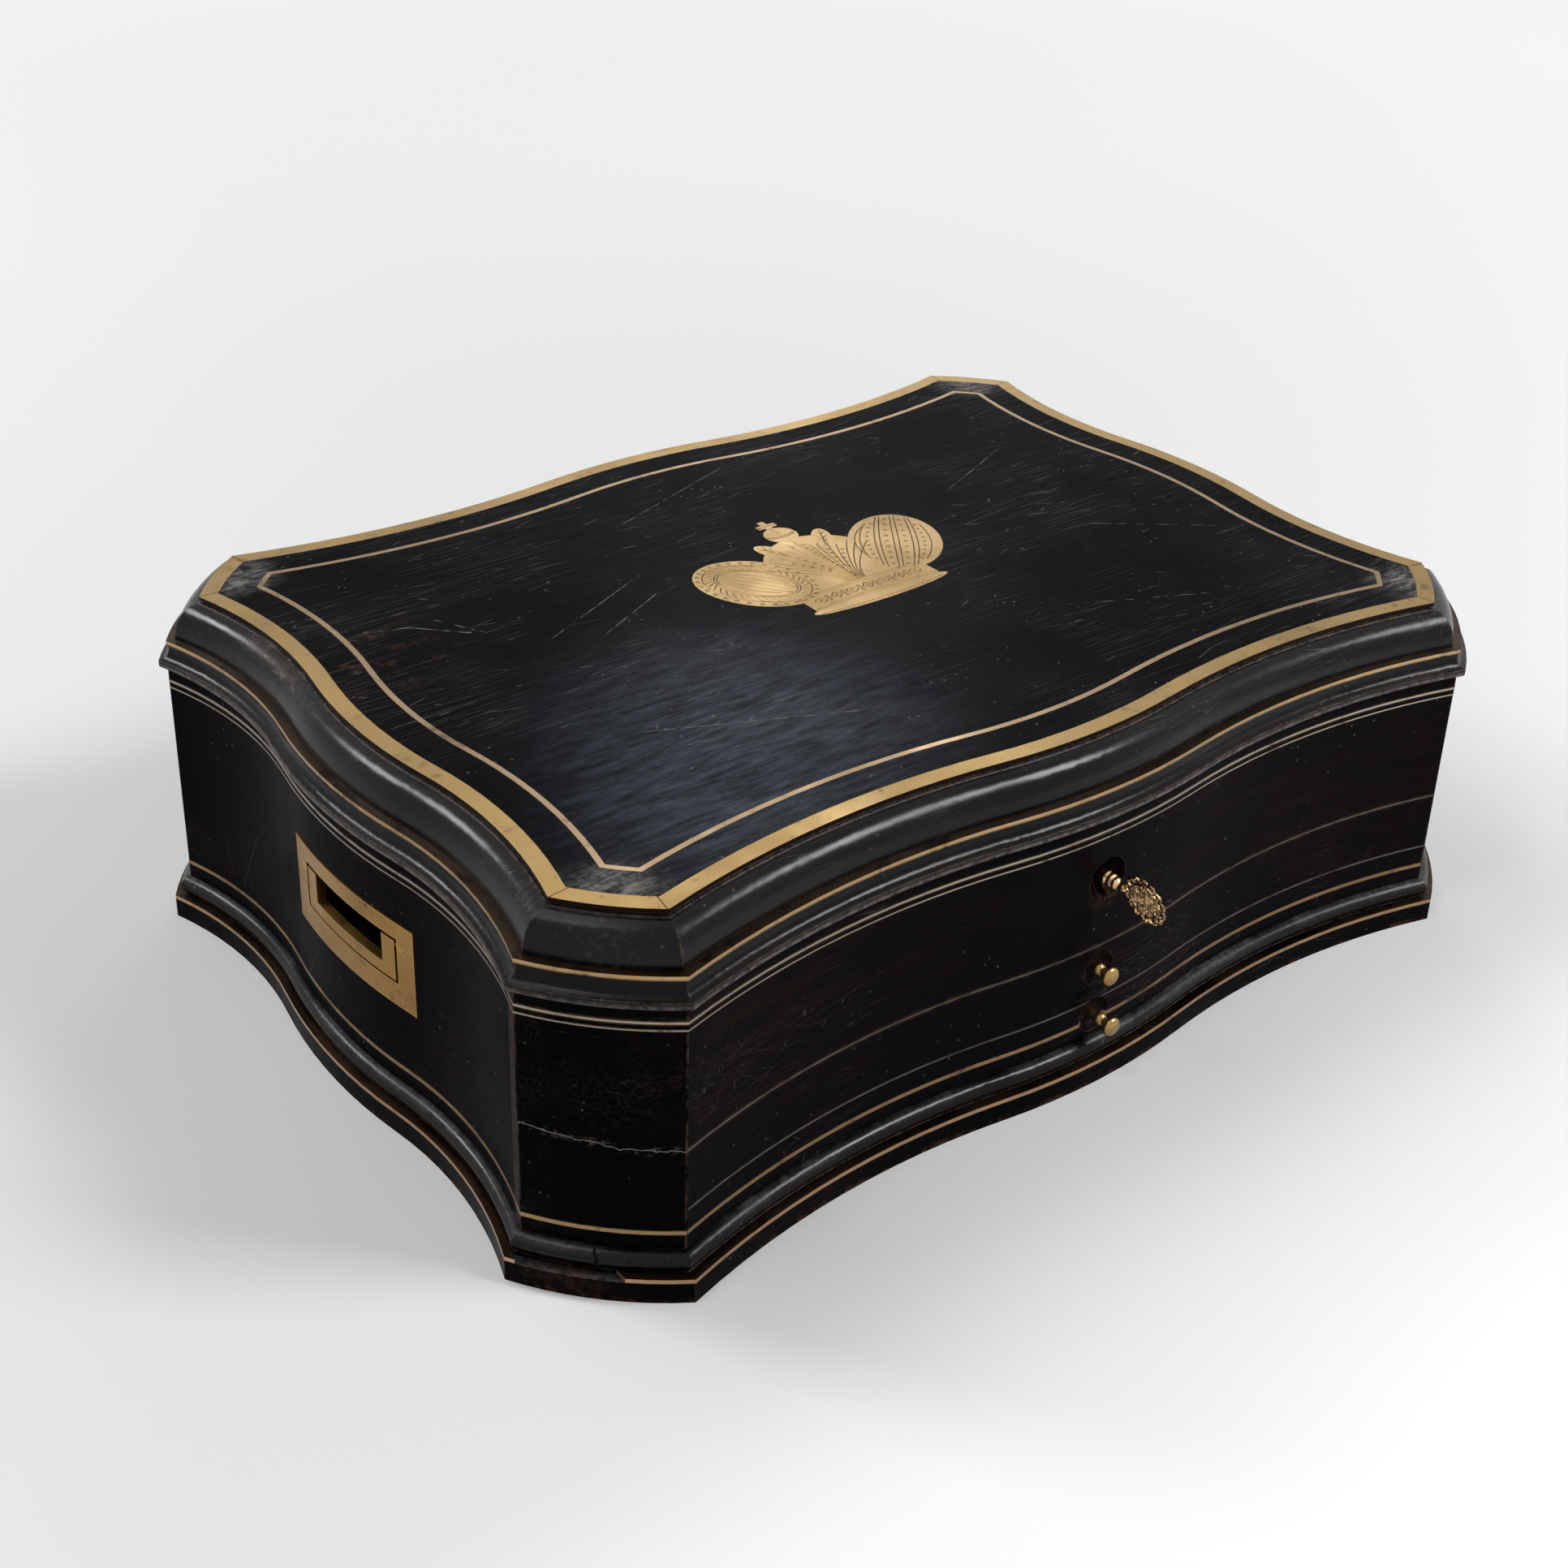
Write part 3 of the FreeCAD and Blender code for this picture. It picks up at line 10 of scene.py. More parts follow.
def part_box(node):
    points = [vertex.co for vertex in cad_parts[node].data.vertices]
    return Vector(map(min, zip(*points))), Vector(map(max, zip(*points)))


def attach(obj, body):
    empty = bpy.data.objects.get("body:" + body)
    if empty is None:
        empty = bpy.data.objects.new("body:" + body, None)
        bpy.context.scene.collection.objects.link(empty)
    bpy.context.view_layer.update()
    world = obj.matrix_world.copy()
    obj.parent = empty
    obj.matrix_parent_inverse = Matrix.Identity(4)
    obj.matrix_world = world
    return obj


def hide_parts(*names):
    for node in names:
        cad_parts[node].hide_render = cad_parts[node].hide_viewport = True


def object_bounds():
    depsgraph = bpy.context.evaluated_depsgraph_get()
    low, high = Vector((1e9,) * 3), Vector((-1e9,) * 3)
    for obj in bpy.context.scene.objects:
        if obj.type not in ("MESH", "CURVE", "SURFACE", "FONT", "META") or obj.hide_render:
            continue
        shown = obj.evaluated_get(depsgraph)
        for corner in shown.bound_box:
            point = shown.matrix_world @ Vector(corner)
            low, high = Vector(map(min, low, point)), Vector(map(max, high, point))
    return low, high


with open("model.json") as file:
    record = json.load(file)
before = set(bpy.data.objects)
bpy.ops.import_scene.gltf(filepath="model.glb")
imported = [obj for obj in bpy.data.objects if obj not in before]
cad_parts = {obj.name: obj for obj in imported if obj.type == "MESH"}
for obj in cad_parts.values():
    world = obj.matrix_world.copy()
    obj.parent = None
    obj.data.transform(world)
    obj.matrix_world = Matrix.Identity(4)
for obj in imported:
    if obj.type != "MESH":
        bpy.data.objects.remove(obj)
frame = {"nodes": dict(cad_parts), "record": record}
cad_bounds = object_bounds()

NODES = frame["nodes"]
MM = 0.001
LID_TOP = cad_bounds[1][2]


# Camera, in the photograph's frame of 1932 pixels a side

FRAME_PIXELS = 1932
AZIMUTH = math.radians(-38.46)
ELEVATION = math.radians(26.89)
ROLL = math.radians(1.82)
DISTANCE = 1.0466
TARGET = Vector((0.0629, 0.109, 0.06))
FOCAL_PIXELS = 2722
RISE_PIXELS = 200
SENSOR = 36.0
NEAR_CLIP = 0.01


def make_camera():
    """The camera at the photograph's angle, with a small rise to hold the uprights."""
    data = bpy.data.cameras.new("camera")
    camera = bpy.data.objects.new("camera", data)
    bpy.context.scene.collection.objects.link(camera)
    back = Vector((math.sin(AZIMUTH) * math.cos(ELEVATION), -math.cos(AZIMUTH) * math.cos(ELEVATION),
                   math.sin(ELEVATION)))
    level = Vector((math.cos(AZIMUTH), math.sin(AZIMUTH), 0))
    upright = back.cross(level)
    right = level * math.cos(ROLL) + upright * math.sin(ROLL)
    up = upright * math.cos(ROLL) - level * math.sin(ROLL)
    turn = Matrix((right, up, back)).transposed()
    camera.matrix_world = Matrix.Translation(TARGET + back * DISTANCE) @ turn.to_4x4()
    data.sensor_width = SENSOR
    data.lens = SENSOR * FOCAL_PIXELS / FRAME_PIXELS
    data.shift_y = -RISE_PIXELS / FRAME_PIXELS
    data.clip_start = NEAR_CLIP
    bpy.context.scene.camera = camera


# Node trees: short calls for the nodes that the materials share, where t stands for the tree

class Tree:
    """A material's node tree. A mask is a value from zero to one over the surface."""

    def __init__(self, name):
        self.material = bpy.data.materials.new(name)
        self.material.use_nodes = True
        self.tree = self.material.node_tree
        self.surface = self.tree.nodes["Principled BSDF"]
        self.place = self.add("ShaderNodeTexCoord").outputs["Object"]

    def add(self, kind, inputs=None, **settings):
        """Makes a node, sets its settings, and feeds its inputs with values or other outputs."""
        node = self.tree.nodes.new(kind)
        for setting, value in settings.items():
            setattr(node, setting, value)
        for key, value in (inputs or {}).items():
            self.feed(node.inputs[key], value)
        return node

    def feed(self, socket, value):
        """Links an output to a socket, or sets the socket's own value."""
        if isinstance(value, bpy.types.NodeSocket):
            self.tree.links.new(value, socket)
        else:
            socket.default_value = value

    def set(self, **inputs):
        """Feeds the surface's inputs; an underscore stands for a space."""
        for key, value in inputs.items():
            self.feed(self.surface.inputs[key.replace("_", " ")], value)

    def math(self, operation, first, second=0.0):
        """One step of arithmetic on two values."""
        return self.add("ShaderNodeMath", {0: first, 1: second}, operation=operation).outputs[0]

    def most(self, *values):
        """The highest of several masks."""
        total = values[0]
        for value in values[1:]:
            total = self.math("MAXIMUM", total, value)
        return total

    def times(self, *values):
        """A product of masks and shares."""
        total = values[0]
        for value in values[1:]:
            total = self.math("MULTIPLY", total, value)
        return total

    def plus(self, *values):
        """A sum that stops at one."""
        total = values[0]
        for value in values[1:]:
            node = self.add("ShaderNodeMath", {0: total, 1: value}, operation="ADD", use_clamp=True)
            total = node.outputs[0]
        return total

    def axis(self, name, where=None):
        """One coordinate, in metres."""
        return self.add("ShaderNodeSeparateXYZ", {0: where or self.place}).outputs[name]

    def folded(self):
        """The place with X and Y counted outwards, so that a mark shows at all four corners."""
        outwards = [self.math("ABSOLUTE", self.axis(name)) for name in "XY"]
        return self.add("ShaderNodeCombineXYZ", {0: outwards[0], 1: outwards[1]}).outputs[0]

    def mapped(self, scale, turn=(0, 0, 0)):
        """The place stretched by a scale and turned in degrees; the higher the scale, the finer a mark."""
        turn = [math.radians(angle) for angle in turn]
        inputs = {"Vector": self.place, "Scale": scale, "Rotation": turn}
        return self.add("ShaderNodeMapping", inputs).outputs[0]

    def noise(self, scale, detail=2.0, roughness=0.5, where=None):
        """Cloudy noise about one half."""
        inputs = {"Vector": where or self.place, "Scale": scale, "Detail": detail, "Roughness": roughness}
        return self.add("ShaderNodeTexNoise", inputs).outputs[0]

    def streaks(self, stretch, detail, roughness, turn=0):
        """Noise drawn out along the axis with the low scale, turned as seen from above."""
        return self.noise(1.0, detail, roughness, self.mapped(stretch, (0, 0, turn)))

    def patches(self, scale, low, high, detail=3.0, roughness=0.7):
        """Patches with soft edges."""
        return self.remap(self.noise(scale, detail, roughness), low, high)

    def cells(self, scale, where=None, feature="DISTANCE_TO_EDGE"):
        """Distance to the nearest edge of a net of cells, or to the middle of the nearest cell."""
        inputs = {"Vector": where or self.place, "Scale": scale}
        return self.add("ShaderNodeTexVoronoi", inputs, feature=feature).outputs["Distance"]

    def remap(self, value, low, high, to_low=0.0, to_high=1.0):
        """Takes one range to another, held at its ends."""
        inputs = {0: value, 1: low, 2: high, 3: to_low, 4: to_high}
        return self.add("ShaderNodeMapRange", inputs, interpolation_type="SMOOTHSTEP").outputs[0]

    def band(self, value, low, high, soft):
        """One between two levels, and zero outside them."""
        rise = self.remap(value, low - soft, low + soft)
        fall = self.remap(value, high - soft, high + soft, 1, 0)
        return self.times(rise, fall)

    def spot(self, middle, radius, where=None):
        """One at a point, falling to zero at a radius."""
        gap = self.add("ShaderNodeVectorMath", {0: where or self.place, 1: middle}, operation="DISTANCE")
        return self.remap(gap.outputs["Value"], 0, radius, 1, 0)

    def stroke(self, start, end, width, where=None):
        """A thin straight mark seen from above, between two points in millimetres."""
        turn = math.atan2(end[1] - start[1], end[0] - start[0])
        inputs = {"Vector": where or self.place, "Rotation": (0, 0, turn),
                  "Location": (start[0] * MM, start[1] * MM, 0)}
        along = self.add("ShaderNodeMapping", inputs, vector_type="TEXTURE").outputs[0]
        x, y = [self.axis(name, along) for name in "XY"]
        length = math.dist(start, end) * MM
        half = width * MM
        return self.times(self.band(x, 0, length, length * 0.04), self.band(y, -half, half, half))

    def blend(self, factor, first, second):
        """A colour between two colours."""
        node = self.add("ShaderNodeMix", data_type="RGBA")
        for socket, value in zip((node.inputs[0], node.inputs[6], node.inputs[7]), (factor, first, second)):
            self.feed(socket, value if isinstance(value, (bpy.types.NodeSocket, float)) else (*value, 1))
        return node.outputs[2]

    def bump(self, height, strength, distance, normal=None):
        """The surface's direction with fine relief added."""
        node = self.add("ShaderNodeBump", {"Height": height, "Strength": strength, "Distance": distance})
        if normal:
            self.feed(node.inputs["Normal"], normal)
        return node.outputs[0]

    def rounded(self, radius):
        """The surface's direction as it would be with softened edges."""
        return self.add("ShaderNodeBevel", {"Radius": radius}, samples=4).outputs[0]

    def edges(self, rounded):
        """One along sharp edges, from how far a rounded edge would turn the surface."""
        flat = self.add("ShaderNodeNewGeometry").outputs["Normal"]
        match = self.add("ShaderNodeVectorMath", {0: rounded, 1: flat}, operation="DOT_PRODUCT")
        return self.remap(match.outputs["Value"], 0.995, 0.93)

    def facing(self):
        """How far the surface faces up, in the piece's own frame."""
        return self.axis("Z", self.add("ShaderNodeTexCoord").outputs["Normal"])

    def upward(self, low=0.5, high=0.9):
        """One where the surface faces up."""
        return self.remap(self.facing(), low, high)

    def standing(self):
        """One on upright faces."""
        return self.remap(self.math("ABSOLUTE", self.facing()), 0.5, 0.8, 1, 0)


def finish_node(material, *names):
    """Gives carried-over nodes one material."""
    for name in names:
        mesh = NODES[name].data
        mesh.materials.clear()
        mesh.materials.append(material)


# Ebonised wood: black stained wood under a worn shellac polish

BLACK = (0.0026, 0.0022, 0.0028)
# A lighter copy of the black for the upright front and sides: painted light, making up for the little light
# the lamps give these walls
LIT_WALL_BLACK = (0.0052, 0.0045, 0.006)
BROWN_BLACK = (0.019, 0.0085, 0.0065)
# The worn brown and the dust grey also paint a reflection strip on the side, and the dust grey part of a
# highlight along the lid seam
WORN_AND_SHEEN_BROWN = (0.085, 0.04, 0.022)
EDGE_WEAR = (0.2, 0.135, 0.095)
DUST_AND_SHEEN = (0.17, 0.168, 0.17)
# Pale wear, which also paints highlights along the seams
PALE_WEAR_AND_HIGHLIGHT = (0.3, 0.27, 0.24)
# Blue-grey of the lid's haze: partly real, partly a painted reflection glow
HAZE_AND_SHEEN_BLUE = (0.046, 0.056, 0.074)
CRACK_BLACK = (0, 0, 0)

# Each direction in degrees, with how often its scratches break off
SCRATCH_RUNS = ((18, 9), (-37, 13), (64, 11))
SCRATCH_WIDTH = 0.01


def scratches(t, amount):
    """Fine straight scratches in three directions, in broken patches."""
    marks = []
    for turn, breaks in SCRATCH_RUNS:
        net = t.cells(1.0, t.mapped((breaks, 380, 380), (0, 0, turn)))
        lines = t.remap(net, SCRATCH_WIDTH, SCRATCH_WIDTH * 0.3)
        marks.append(t.times(lines, t.patches(7 + breaks, 0.62 - amount, 0.74 - amount, 2.0, 0.5)))
    return t.most(*marks)


def ebony(name, rough, index, brown, wear=None, edge=0.0006, fine=0.06, haze_and_sheen=None, black=BLACK, crack=None):
    """The polish. The wear function gives masks of pale marks, of dust and of wood laid bare; some of these
    also paint light, as highlights along seams and a reflection strip on the side. The haze function paints
    a blue-grey haze that is partly a painted reflection glow.
    """
    t = Tree(name)
    clouds = t.patches(9.0, 0.4, 0.75, 4.0, 0.6)
    grain = t.remap(t.streaks((14, 170, 170), 3.0, 0.6), 0.35, 0.7)
    broken = t.patches(210, 0.38, 0.62)
    lines = scratches(t, fine)
    specks = t.times(t.remap(t.cells(230, feature="F1"), 0.16, 0.07), t.patches(46, 0.5, 0.7, 2.0, 0.5))
    soft = t.rounded(edge)
    rub = t.times(t.edges(soft), broken)
    pale, dust_and_sheen, bare = wear(t) if wear else (0.0, 0.0, 0.0)
    split = crack(t) if crack else 0.0

    colour = t.blend(t.times(clouds, grain, brown), black, BROWN_BLACK)
    # The lid's blue-grey haze, partly a painted reflection glow
    if haze_and_sheen:
        colour = t.blend(haze_and_sheen(t), colour, HAZE_AND_SHEEN_BLUE)
    colour = t.blend(t.plus(t.times(lines, 0.3), t.times(specks, 0.5)), colour, DUST_AND_SHEEN)
    colour = t.blend(t.times(rub, 0.7), colour, EDGE_WEAR)
    # Dust and bare wood; on the side these masks also paint a strip of reflection beside the near corner
    colour = t.blend(t.times(dust_and_sheen, t.patches(420, 0.2, 0.75)), colour, DUST_AND_SHEEN)
    colour = t.blend(t.times(bare, broken), colour, WORN_AND_SHEEN_BROWN)
    colour = t.blend(pale, colour, PALE_WEAR_AND_HIGHLIGHT)
    colour = t.blend(split, colour, CRACK_BLACK)

    uneven = t.remap(t.noise(15.0, 5.0, 0.65), 0.3, 0.8, 0, 0.14)
    dull = t.plus(uneven, t.times(rub, 0.25), t.times(dust_and_sheen, 0.3), t.times(bare, 0.3), split)
    sunken = t.plus(t.times(lines, 0.5), t.times(bare, broken), split)
    height = t.math("SUBTRACT", t.times(t.noise(55), 0.25), sunken)
    t.set(Base_Color=colour, Roughness=t.math("ADD", dull, rough), IOR=index,
          Normal=t.bump(height, 0.2, 0.0002, soft))
    return t.material


# Spots of wear, and of the lid's haze that is partly a painted reflection glow, each with its middle and its
# radius in metres; the corner's middle counts outwards
LID_HAZE_GLOW = ((-0.1, -0.075, 0.143), 0.1)
LID_NEAR_HAZE_GLOW = ((-0.15, -0.115, 0.143), 0.07)
LID_CORNER = ((0.197, 0.137, 0), 0.024)
LID_BARE = ((-0.186, 0.045, 0.143), 0.05)
FRAME_LEFT = ((-0.214, 0.066, 0.136), 0.034)
FRAME_CORNER = ((-0.212, -0.152, 0.129), 0.03)
LOST_FILLET = ((-0.222, -0.146, 0.0085), 0.021)

# Scratches on the lid in millimetres: both ends and half the width
LID_SCRATCHES = (
    ((-178, 64), (-161, 58), 0.35),
    ((-161, 58), (-144, 41), 0.3),
    ((-150, 58), (-138, 36), 0.25),
    ((-120, 20), (-62, 47), 0.2),
    ((-108, 8), (-64, 30), 0.2),
    ((-58, -92), (-132, -60), 0.2),
    ((60, -70), (118, -96), 0.18),
    ((96, 40), (150, 64), 0.18),
    ((-40, 92), (30, 118), 0.16),
    ((128, -20), (171, -52), 0.16),
)

# Handled places of the front: level, radius and strength
HANDLED = ((0.083, 0.012, 1.0), (0.049, 0.011, 0.6), (0.027, 0.009, 0.4))

# Levels in metres
UPPER_DRAWER_SEAM = (0.05835, 0.05912)
LOWER_DRAWER_SEAM = (0.03345, 0.0342)
BELOW_SEAM = (0.0572, 0.0602)
LID_SEAM = (0.1163, 0.1184)
POST_HAIRS = (0.1, 0.1125)

# The near left corner: its direction seen from above, and its left edge along that
CORNER_RUN = (0.7014, -0.7127, 0)
CORNER_START = 0.06925
# The strip on the left side beside the corner where a reflection is painted, its two levels of Y in metres
CORNER_SHEEN_STRIP = (-0.1302, -0.1232)


def lid_haze_and_sheen(t):
    """A blue-grey haze with fine streaks, left of the middle and faint elsewhere: partly rubbed streaks in
    the polish, partly a painted reflection glow where the haze lamp is mirrored.
    """
    streaks = t.remap(t.streaks((60, 330, 330), 4.0, 0.75, -38), 0.3, 0.78, 0.1, 0.8)
    crossing = t.remap(t.streaks((50, 260, 260), 4.0, 0.75, 24), 0.4, 0.75, 0, 0.7)
    haze_glow = t.plus(t.spot(*LID_HAZE_GLOW), t.times(t.spot(*LID_NEAR_HAZE_GLOW), 0.7))
    faint = t.remap(t.noise(11, 3.0), 0.4, 0.8, 0, 0.12)
    return t.times(t.plus(haze_glow, faint), t.plus(streaks, crossing))


def lid_wear(t):
    """Rubbed corners, a bare patch at the left and a few long scratches."""
    corners = t.times(t.spot(*LID_CORNER, t.folded()), t.patches(90, 0.3, 0.6))
    along = t.times(t.spot(*LID_BARE), t.patches(70, 0.5, 0.7))
    rubbed = t.remap(t.streaks((60, 420, 420), 4.0, 0.8, -12), 0.45, 0.62)
    marks = [t.stroke(*scratch) for scratch in LID_SCRATCHES]
    pale = t.times(t.most(*marks), t.patches(160, 0.4, 0.6, 2.0, 0.5), 0.5)
    return t.plus(pale, t.times(corners, rubbed, 0.6)), t.times(corners, 0.8), t.times(along, 0.6)


def frame_wear(t):
    """A rubbed stretch on the left moulding, and dust at the near left corner."""
    left = t.times(t.spot(*FRAME_LEFT), t.upward())
    corner = t.spot(*FRAME_CORNER)
    marks = t.remap(t.streaks((160, 50, 160), 3.0, 0.75), 0.5, 0.62)
    specks = t.patches(420, 0.56, 0.66)
    pale = t.plus(t.times(left, marks, 0.6), t.times(corner, specks, 0.08))
    return pale, t.times(corner, 0.08), t.times(left, 0.4)


def front_wear_and_highlight(t):
    """Pale lines along the drawer seams, partly worn polish and partly a painted highlight of the fronts'
    edges, and brown rubbed into places that hands touch.
    """
    z = t.axis("Z")
    soft = 0.00012
    seams = t.most(t.band(z, *UPPER_DRAWER_SEAM, soft), t.band(z, *LOWER_DRAWER_SEAM, soft))
    whole = t.remap(t.noise(26, 3.0, 0.7), 0.3, 0.55, 0.35, 1.0)
    # Painted highlight, partly worn polish: pale lines along the drawer seams
    pale = t.times(seams, t.standing(), whole, 0.75)
    level = t.mapped((1, 0, 1))
    handled = t.most(*[t.times(t.spot((0, 0, height), radius, level), strength)
                       for height, radius, strength in HANDLED])
    touched = t.times(handled, t.patches(150, 0.35, 0.6))
    return pale, 0.0, t.most(touched, t.times(t.band(z, *BELOW_SEAM, 0.0006), 0.25))


def along_corner(t):
    """Distance along the near left corner, from its left edge."""
    along = t.add("ShaderNodeVectorMath", {0: t.place, 1: CORNER_RUN}, operation="DOT_PRODUCT")
    return t.math("ADD", along.outputs["Value"], CORNER_START)


def post_wear(t):
    """A long shrinkage crack with a step, at the level of the upper drawer's seam."""
    run = along_corner(t)
    fall = t.math("ADD", t.remap(run, 0.0, 0.032, 0.0629, 0.06), t.remap(run, 0.032, 0.035, 0, -0.0013))
    wander = t.remap(t.noise(190, 3.0), 0.3, 0.7, -0.0005, 0.0005)
    level = t.math("SUBTRACT", t.axis("Z"), t.math("ADD", fall, wander))
    corner = t.times(t.remap(t.axis("Y"), -0.129, -0.1305), t.remap(t.axis("X"), -0.19, -0.1915))
    crack = t.times(t.band(level, -0.0002, 0.0002, 0.00012), corner)
    chips = t.times(t.band(level, -0.0016, 0.0016, 0.0008), corner, t.patches(330, 0.52, 0.64))
    hairs = t.times(t.band(t.axis("Z"), *POST_HAIRS, 0.002),
                    t.remap(t.streaks((40, 40, 900), 3.0, 0.7), 0.62, 0.7))
    pale = t.plus(t.times(crack, 0.85), t.times(chips, 0.25), t.times(hairs, 0.1))
    return pale, 0.0, t.times(chips, 0.5)


def side_wear_and_sheen(t):
    """A paler strip beside the near corner, painted in dust grey and worn brown as a painted reflection of
    the bright hollow side, and long scratches by the handle.
    """
    # Painted reflection: a strip beside the near corner, painted in dust grey and worn brown
    strip = t.times(t.band(t.axis("Y"), *CORNER_SHEEN_STRIP, 0.0009), t.remap(t.axis("X"), -0.2, -0.21))
    net = t.cells(1.0, t.mapped((1, 22, 5), (63, 0, 0)))
    long_scratches = t.times(t.remap(net, 0.004, 0.0015), t.patches(16, 0.52, 0.6, 2.0, 0.5))
    return t.times(long_scratches, 0.08), t.times(strip, 0.28), t.times(strip, 0.35)


def moulding_wear_and_highlight(t):
    """The seam between lid and case, painted pale and dusty in crumbs: partly crumbled polish, partly a
    painted highlight of the lip's edge.
    """
    # Painted highlight, partly crumbled polish, along the lid seam
    seam = t.times(t.band(t.axis("Z"), *LID_SEAM, 0.0002), t.standing())
    crumbs = t.patches(240, 0.4, 0.6, 4.0, 0.75)
    return t.times(seam, crumbs, 0.42), t.times(seam, 0.3), 0.0


def bead_wear(t):
    """Dust that lies on the bead in patches."""
    lying = t.times(t.upward(0.2), t.patches(38, 0.3, 0.6, 4.0))
    return 0.0, t.times(lying, t.patches(17, 0.4, 0.62, 3.0, 0.5), 0.45), 0.0


def bead_crack(t):
    """A crack across the bead near the middle of the near left corner."""
    wander = t.remap(t.noise(160, 3.0), 0.3, 0.7, -0.0008, 0.0008)
    line = t.band(t.math("ADD", along_corner(t), wander), 0.0262, 0.0272, 0.0002)
    return t.times(line, t.remap(t.axis("Y"), -0.125, -0.127))


def plinth_wear(t):
    """Dust on the ledge, a scuffed foot, and bare wood where a piece of the brass is lost."""
    foot = t.times(t.remap(t.axis("Z"), 0.003, 0.0), t.patches(120, 0.45, 0.6))
    lost = t.spot(*LOST_FILLET)
    return 0.0, t.times(t.upward(0.4, 0.95), 0.4), t.plus(foot, t.times(lost, 0.45))


# Brass: old, dulled, with streaks and darker spots

INLAY_BRASS = (0.27, 0.178, 0.07)
BAND_BRASS = (0.36, 0.24, 0.09)
FILLET_BRASS = (0.52, 0.35, 0.18)
STRING_BRASS = (0.33, 0.23, 0.13)
PALE_BRASS = (0.42, 0.36, 0.28)
BASE_BRASS = (0.55, 0.35, 0.2)
LINE_BRASS = (0.4, 0.26, 0.135)
HANDLE_BRASS = (0.43, 0.24, 0.06)
KEY_BRASS = (0.95, 0.62, 0.32)
KNOB_BRASS = (0.41, 0.255, 0.1)
TARNISH = (0.075, 0.042, 0.018)
DEEP_TARNISH = (0.02, 0.01, 0.006)
BRUSHED_TURN = 33

# Mitred joints at the two ends of a canted corner, in millimetres counted outwards
MITRES = (((189.6, 158.0), (187.8, 147.0)), ((218.8, 128.5), (208.0, 127.2)))
MITRE_WIDTH = 0.2
FILLET_FOOT = (0.1259, 0.1256)
UPPER_LINE = (0.1092, 0.11)
CLEAN_DEPTH = 0.00002
DIRTY_DEPTH = 0.00022


def brass(name, colour, tarnish=0.5, rough=0.28, edge=None, extra=None, spread=14):
    """Worn brass; the extra function gives a mask of dark marks, and edges are rubbed bright."""
    t = Tree(name)
    spots = t.patches(130, 0.56, 0.74, 4.0)
    broad = t.patches(spread, 0.35, 0.7, 3.0, 0.5)
    brushed = t.streaks((40, 1500, 1500), 2.0, 0.6, BRUSHED_TURN)
    dark = t.plus(t.times(spots, tarnish), t.times(broad, tarnish * 0.5), t.times(brushed, tarnish * 0.35))
    shade = t.blend(dark, colour, TARNISH)
    if edge:
        bright = [min(1, value * 1.5) for value in colour]
        shade = t.blend(t.times(t.edges(t.rounded(edge)), 0.5), shade, bright)
    if extra:
        shade = t.blend(extra(t), shade, DEEP_TARNISH)
    t.set(Base_Color=shade, Metallic=1.0, Roughness=t.remap(t.noise(40, 3.0), 0.3, 0.7, rough, rough + 0.18),
          Normal=t.bump(t.times(brushed, 0.5), 0.12, 0.0001))
    return t.material


def sunk(t):
    """The polish that laps over an inlaid strip's sides, and leaves its upper face clear."""
    return t.remap(t.upward(), 0.0, 1.0, 1.0, 0.0)


def band_marks(t):
    """Mitred joints of the band at both ends of each canted corner, and its darker sides."""
    outwards = t.folded()
    joints = t.most(*[t.stroke(start, end, MITRE_WIDTH, outwards) for start, end in MITRES])
    return t.plus(joints, sunk(t), t.times(t.patches(60, 0.58, 0.75, 4.0, 0.8), 0.5))


def line_marks(t):
    """Gaps in the thin lines that polish and dirt have filled."""
    return t.plus(t.times(t.patches(34, 0.54, 0.7, 4.0, 0.8), 0.6), 0.05)


def string_marks(t):
    """Polish over the string's sides, and gaps."""
    return t.plus(sunk(t), line_marks(t))


def ledge_marks(t):
    """Dirt on a ledge, which leaves the outer edge bright."""
    return t.plus(t.times(t.upward(), 0.9), line_marks(t))


def fillet_marks(t):
    """Dirt on the fillet's ledge and along its foot."""
    return t.plus(t.times(t.remap(t.axis("Z"), *FILLET_FOOT), 0.7), ledge_marks(t))


def upper_marks(t):
    """Dirt over both edges of the line."""
    return t.plus(t.times(t.band(t.axis("Z"), *UPPER_LINE, 0.0001), -0.85), 0.85, line_marks(t))


def engraved(t):
    """Dirt in the engraving, which lies below the plate's face."""
    grooves = t.remap(t.axis("Z"), LID_TOP - CLEAN_DEPTH, LID_TOP - DIRTY_DEPTH, 0, 0.8)
    return t.plus(grooves, t.times(t.patches(44, 0.56, 0.75, 4.0, 0.8), 0.3))


def recesses(t):
    """Dirt round the bow's scrolls, in patches."""
    return t.times(t.patches(420, 0.42, 0.56), 0.8)


# Inside: waxed hardwood and short-pile cloth

def hardwood(name, light, dark, rough=0.45):
    """Straight-grained wood with dark pores."""
    t = Tree(name)
    rings = t.streaks((6, 90, 90), 4.0, 0.6)
    pores = t.remap(t.streaks((60, 1400, 1400), 2.0, 0.7), 0.6, 0.75)
    colour = t.blend(t.remap(rings, 0.35, 0.65), light, dark)
    colour = t.blend(t.times(pores, 0.6), colour, [value * 0.45 for value in dark])
    t.set(Base_Color=colour, Roughness=t.remap(rings, 0.3, 0.7, rough, rough + 0.15),
          Specular_IOR_Level=0.35, Normal=t.bump(pores, -0.3, 0.0002))
    return t.material


